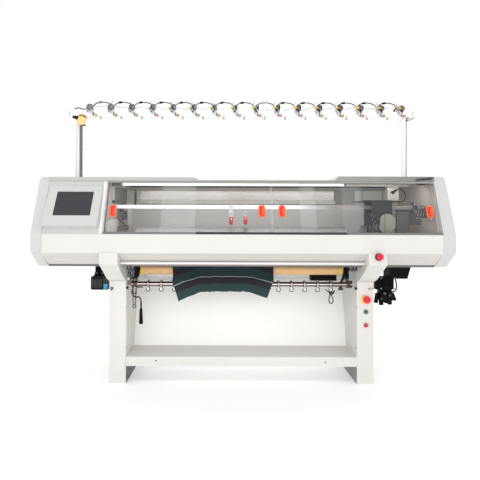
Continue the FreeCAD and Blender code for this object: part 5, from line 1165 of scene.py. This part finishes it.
def cogged(piece, x0, x1, y, z, radius, teeth, look):
    """Toothed wheel with its axis along x."""
    outline = []
    for k, t in enumerate(circle(teeth * 4)):
        r = radius if k % 4 in (0, 1) else radius * 0.88
        outline.append((y + r * math.cos(t), z + r * math.sin(t)))
    piece.prism(outline, "x", x0, x1, look)


def along_x(piece, y, z, *rows):
    """Rods on an axis along x at y and z; rows of from x, to x, radius, look, steps, chamfer."""
    for x0, x1, *rest in rows:
        piece.rod((x0, y, z), (x1, y, z), *rest)


def roller_drive():
    wheel = Piece("roller_wheel", "roller", "cam_alloy")
    cogged(wheel, -771, -760, ROLLER_Y, ROLLER_Z, 33, 26, "zinc")
    along_x(wheel, ROLLER_Y, ROLLER_Z,
            (-774, -728, 13, "chrome", 20, 1.5), (-776, -770, 18, "dark_bolt", 20, 1.5),
            (-729, -736, 30, "dark_bolt", 28, 1.5), (729, 736, 30, "dark_bolt", 28, 1.5),
            (728, 774, 13, "chrome", 20, 1.5))
    wheel.place()

    side = Piece("roller_side_gear", "frame", "carriage_black")
    cogged(side, -770, -760, GEAR_Y, GEAR_Z, 24, 20, "zinc")
    along_x(side, GEAR_Y, GEAR_Z, (-783.5, -752, 8, "dark_bolt", 18, 1.2))
    belt = []
    for t in circle(24):
        y, z, r = (ROLLER_Y, ROLLER_Z, 24) if math.sin(t) > -0.1 else (GEAR_Y, GEAR_Z, 18)
        belt.append((-750, y + r * math.cos(t), z + r * math.sin(t)))
    side.pipe(belt, 3.0, "ring_dark", 8, True)
    side.boxes(
        (-784, -774, 262, 285, 692, 800, "grey_plate", 1.5),
        (-784, -768, 236, 262, 770, 800, "side_grey", 2.0), (-784, -762, 240, 268, 700, 722, "zinc", 2.0),
        (-776, -764, 268, 290, 660, 690, "side_grey", 2.0))
    for y, z, r in ((247, 790, 5), (247, 776, 4), (262, 742, 6), (256, 712, 5), (276, 728, 5), (272, 702, 4)):
        side.rod((-775, y, z), (-758, y, z), r, "dark_bolt", 14, 1.0)
        side.bolt((-766, y - r, z), 0.6 * r, "chrome", hollow=False)
    for outline in ([(-724, 803), (-690, 803), (-692, 762), (-698, 726), (-710, 708), (-724, 706)],
                    [(696, 803), (738, 803), (733, 772), (718, 734), (700, 704), (680, 684), (670, 690),
                     (684, 716), (694, 752)]):
        side.prism(outline, "y", 250, 261, "nylon_black", 1.5)
    side.wire([(730, 249, 800), (725, 249, 768), (711, 249, 733), (690, 249, 698)], 2.4, "side_grey", 8, 6)
    side.bolts([(-716, 250, 794), (-700, 250, 716), (720, 250, 794), (735, 250, 780)], 4.0, "zinc")
    side.rod((684, 372, 742), (684, 372, 684), 5.0, "box_white", 12, 1.5)
    side.box((679, 690), (368, 392), (684, 690), "zinc", 1.0)
    side.place()


def shaft_brackets():
    """Plates that carry the roller and the press shaft."""
    plates = Piece("shaft_brackets", "frame", "carriage_black")
    for s in (-1, 1):
        near, far = sorted((s * BRACKET_NEAR, s * BRACKET_FAR))
        plates.prism([(226, 714), (300, 714), (329.5, 722), (329.5, 806), (226, 806)],
                     "x", near, far, "nylon_black", 1.0)
        plates.prism([(238, 690), (262, 690), (300, 716), (236, 716)],
                     "x", near + 1, far - 1, "brown_steel", 0.8)
        along_x(plates, SHAFT_Y, SHAFT_Z, (near, far, 23.5, "brown_steel", 32, 1.5),
                (near - 1.5, far + 1.5, 18.0, "zinc", 28, 1.0))
        plates.box(sorted((s * BRACKET_NEAR, s * LEG_INNER)), (239.6, 249.6), (768, 806), "side_grey", 1.5)
        plates.bolts([(s * 740, 239.6, 787), (s * 768, 239.6, 787)], 5.0, "zinc")
    plates.place("roller_brackets")


def crank_and_hooks():
    crank = Piece("crank_handle", "press", "shaft_steel")
    along_x(crank, SHAFT_Y, SHAFT_Z,
            (-750, -732, 22.5, "brown_steel", 32, 2.0), (-752, -748, 17, "chrome", 28, 1.0))
    crank.bolt((-741, SHAFT_Y - 22, SHAFT_Z), 4.6, "chrome")
    arm = ((-741, 656), (-741, 625), (-741, 604), (-736, 590), (-722, 584), (-704, 583), (-692, 577),
           (-686, 562), (-685, 545))
    crank.wire([(x, SHAFT_Y, z) for x, z in arm], 5.2, "brown_steel", 14)
    crank.pipe([(-685, SHAFT_Y, 550), (-685, SHAFT_Y, 498)], 5.8, "black_grip", 16)
    crank.spun((-685, SHAFT_Y, 506), (-685, SHAFT_Y, 398.5),
               [(0, 6.2), (0.02, 8.6), (0.08, 9.6), (0.3, 10.6), (0.6, 12.4), (0.86, 13.9), (0.94, 13.4),
                (0.985, 9.5), (1, 0)], "black_grip", 28)
    # bell link that hangs beside the crank
    crank.rod((-733, 238, 672), (-747, 238, 616), 4.4, "brown_steel", 14, 1.0)
    crank.wire([(-717, 238, 610), (-717, 238, 634), (-716, 238, 648), (-708, 238, 653), (-672, 238, 653)],
               4.0, "brown_steel", 12)
    crank.box((-750, -712), (234, 242), (606, 614), "brown_steel", 2.0)
    crank.rods(
        (-739, 238, 608, -736, 238, 532, 2.4, "ring_dark", 10),
        (-722, 238, 608, -721, 238, 532, 2.4, "ring_dark", 10))
    crank.pipe(hoop(-728.5, 238, 522, 10.5, circle(22)), 2.6, "ring_dark", 8, True)
    crank.place("crank")

    hooks = Piece("lever_fittings", "press", "shaft_steel")
    for i in range(LEVERS):
        x = LEVER_FIRST + LEVER_STEP * i
        along_x(hooks, SHAFT_Y, SHAFT_Z, (x - 8.6, x - 5.2, 21.6, "ring_dark", 28, 0.8),
                (x + 5.2, x + 8.6, 21.6, "ring_dark", 28, 0.8), (x - 5.0, x + 5.0, 21.3, "chrome", 28, 0.6))
        hook = [math.radians(-215 + 250 * k / 20) for k in range(21)]
        hooks.pipe(hoop(x, 246.2, 636, 12, hook), 3.1, "ring_dark", 8)
        hooks.rods(
            (x + 11.5, 247, 641, x + 8, 244, 655, 2.8, "ring_dark", 10, 0.6),
            (x, 252, 637, x, 242, 637, 8.4, "nylon_white", 18, 2.0))
        hooks.bolt((x, SHAFT_Y - 21, SHAFT_Z - 3), 3.4, "dark_bolt", (0, -1, 0.1))
    for x, z in ((738, 694), (738, 659)):
        hooks.rod((x - 2, SHAFT_Y - 9, z), (x + 12, SHAFT_Y - 9, z), 6.4, "dark_bolt", 14, 1.2)
    hooks.box((727, 741), (234, 262), (651, 700), "brown_steel", 3.0)
    along_x(hooks, SHAFT_Y, SHAFT_Z, (-726, -716, 18.5, "brown_steel", 24, 1.5))
    # cable clip and stop under the last lever
    hooks.box((596, 616), (238, 252), (602, 624), "box_grey", 3.0)
    hooks.rods(
        (600, 240, 616, 568, 236, 641, 3.4, "nylon_black", 12, 1.0),
        (614, 240, 612, 633, 236, 634, 4.0, "nylon_black", 12, 1.0),
        (606, 240, 606, 628, 237, 618, 4.6, "box_grey", 12, 1.0))
    hooks.boxes(
        (660, 690, 240, 258, 634, 653, "box_grey", 3.0), (668, 682, 245, 254, 650, 662, "box_grey", 1.5))
    hooks.place()

    short_cable("shaft_loop",
                ((603, 244, 604), (598, 242, 590), (592, 240, 566), (599, 239, 548), (613, 239, 545),
                 (623, 240, 558), (620, 242, 582), (610, 244, 604)), 3.3, "press")


def control_box():
    """Dark box under the left end, its plugs and the two cables up to the frame."""
    box = Piece("control_box", "frame", "unit_black")
    box.boxes(
        (-1091, -964, 450, 560, 595, 692, "box_grey", 5.0),
        (-1079, -976, 524, 531, 690, 806, "unit_black", 1.0),
        (-1088, -1000, 447, 452, 602, 686, "unit_black", 1.5))
    for x in range(-1080, -1014, 13):
        box.box((x, x + 6), (444.5, 448), (612, 676), "side_grey", 0.6)
    box.box((-998, -965), (446.5, 456), (596, 642), "unit_blue", 2.0)
    for x in (-1058, -1010):
        for low, high, *rest in ((688, 706, 17, "nylon_black", 24, 1.5), (704, 722, 14, "side_grey", 24, 2.0),
                                 (720, 732, 9, "nylon_black", 18, 1.5)):
            box.rod((x, 485, low), (x, 485, high), *rest)
    box.bolts([(-1084, 450, 686), (-972, 450, 686), (-1084, 450, 600)], 3.4, "zinc")
    box.place("servo_box")
    for name, x, lean, length in (("box_cable_left", -1058, 10, 0.085),
                                  ("box_cable_right", -1010, -12, 0.086)):
        short_cable(name, ((x, 485, 727), (x, 485, 748), (x + lean, 492, 770), (x + lean, 505, 790),
                           (x + 0.4 * lean, 512, 804)), 4.5)


def drive_fittings():
    """Ribs, screws and the cable loop of the drive unit under the right end."""
    unit = Piece("drive_fittings", "frame", "unit_black")
    for x in range(992, 1061, 17):
        unit.box((x, x + 6), (336.5, 345), (642, 690), "unit_black", 1.0)
    unit.bolts([(x, 339.6, z) for z in (704, 632) for x in (984, 1078)], 4.4, "zinc")
    for x, z, r in ((1008, 596, 17), (1044, 584, 14), (988, 560, 11)):
        unit.rods(
            (x, 352, z, x, 338, z, r, "nylon_black", 22, 2.0),
            (x, 340, z, x, 335, z, 0.55 * r, "side_grey", 18, 1.0))
    unit.place()
    short_cable("drive_cable", ((1092, 392, 704), (1102, 390, 694), (1108, 388, 664), (1112, 388, 634),
                                (1103, 389, 607), (1084, 392, 600), (1070, 396, 600)), 4.6)


roller_drive()
shaft_brackets()
crank_and_hooks()
control_box()
drive_fittings()

# ---------------------------------------------------------------- legs, controls and stand

def leg_details():
    legs = Piece("leg_fittings", "frame", "cover_paint")
    # Painted shade: grey panels on the legs' inner faces below the tray stand in for the shade there, darker
    # on the left leg.
    for side, look in ((-1, "leg_shade_dark"), (1, "recess_pale")):
        inner = side * LEG_INNER
        legs.box(sorted((inner + side * 0.5, inner - side * 2.5)), (238, 728), (3, 115), look, 1.0)
        for z in (786, 647):
            along_x(legs, 246, z, (inner + side, inner - side * 12, 9.5, "dark_bolt", 6),
                    (inner - side * 11, inner - side * 14, 5.0, "dark_bolt", 14, 0.8))
        for z in (518, 245):
            along_x(legs, 242, z, (inner + side, inner - side * 2.5, 3.6, "dark_bolt", 12, 0.6))
    for x, z in ((-580, 154), (570, 148)):
        legs.rods(
            (x, 235, z, x, 232.4, z, 5.2, "dark_bolt", 18, 0.8),
            (x, 233, z, x, 231.6, z, 2.6, "recess_pale", 12, 0.4))
    # latches at the outer edges of the legs
    legs.box((-890, -870), (229, 235), (640, 655), "pale_plate", 1.5)
    legs.rods(
        (-884, 229, 652, -869, 224, 644, 4.6, "side_grey", 14, 1.2),
        (-872, 226, 645, -886, 222, 634, 3.8, "nylon_black", 14, 1.2),
        (-880, 235, 650, -880, 226, 650, 6.0, "zinc", 16, 1.0))
    legs.box((858, 878), (228, 235), (640, 652), "zinc", 2.0)
    legs.rods(
        (862, 228, 645, 893, 224, 652, 4.8, "zinc", 14, 1.4),
        (869, 235, 646, 869, 224, 646, 6.4, "chrome", 16, 1.0))
    # seams of the neck covers against the legs
    for side in (-1, 1):
        legs.box(sorted((side * 785, side * 897)), (232.6, 234.8), (693.5, 695.6), "recess_pale", 0.3)
        legs.bolt((side * 790, 57.6, 834), 3.2, "dark_bolt")
    legs.place()


def controls():
    """Yellow plate, bored bases of the two stops and rims of the two buttons."""
    plates = Piece("control_bases", "frame", "control_yellow")
    plates.box((814.5, 861), (230.2, 235), (545, 603), "control_yellow", 2.0)
    plates.ring((843, 230.6, 577), (843, 216.2, 577), 9.0, 15.0, "nylon_black")
    for z in (491, 400):
        plates.ring((843, 235, z), (843, 228.6, z), 12.6, 15.6, "recess_pale")
    plates.ring((845, -6.6, 885.7), (845, -12.4, 886.5), 9.0, 23.5, "nylon_black")
    plates.ring((845, -11.6, 886.4), (845, -23.3, 888.0), 9.0, 15.0, "nylon_black")
    plates.place("control_plates")


def stand_details():
    stand = Piece("stand_fittings", "frame", "stand_paint")
    # Painted shade and reflection: the dark and pale upright strips down the two posts.
    stand.boxes(
        (-1187, -1171, 490, 511, 1396, 1846, "strip_dark", 2.0),
        (-1206.5, -1203.5, 480.2, 484, 1396, 1850, "strip_pale", 0.5),
        (1209, 1219, 481.5, 492, 1400, 1852, "strip_pale", 1.2))
    for z in (1450, 1640, 1800):
        stand.bolts([(-1179, 489, z), (1214, 481.5, z)], 3.0, "zinc")
    stand.prism([(-1244, 1860.5), (-1142, 1860.5), (-1142, 1848), (-1188, 1847), (-1206, 1838),
                 (-1224, 1847)], "y", 481, 518, "nylon_black", 1.5)
    stand.box((-1236, -1140), (476.5, 481), (1851, 1868), "nylon_black", 1.2)
    stand.prism([(1214, 1860.5), (1278, 1860.5), (1272, 1855), (1240, 1842), (1214, 1842)],
                "y", 478, 518, "pale_plate", 1.5)
    for z in (1854, 1838):
        stand.rod((1216, 482, z), (1216, 474, z), 4.6, "dark_bolt", 14, 1.0)
    for side in (-1, 1):
        stand.box(sorted((side * 1256, side * 1261)), (480, 519), (1860, 1905), "pale_plate", 1.5)
        stand.bolts([(side * 1261, 500, 1872), (side * 1261, 500, 1893)], 4.0, "zinc", (side, 0, 0))
        stand.rod((side * 1205, 500, 1388), (side * 1205, 500, 1403), 26, "strip_pale", 32, 2.0)
    stand.boxes(
        (-1158, -1132, 434, 470, 1789, 1796, "side_grey", 2.0),
        (-1176, -1146, 436, 474, 1862, 1872, "lamp_yellow", 3.0))
    stand.place()
    short_cable("lead_stub", ((-1104, 512, 1940), (-1124, 512, 1930), (-1150, 510, 1924), (-1178, 508, 1924),
                              (-1198, 506, 1933), (-1212, 505, 1931), (-1230, 503, 1921)), 3.6)


leg_details()
controls()
stand_details()
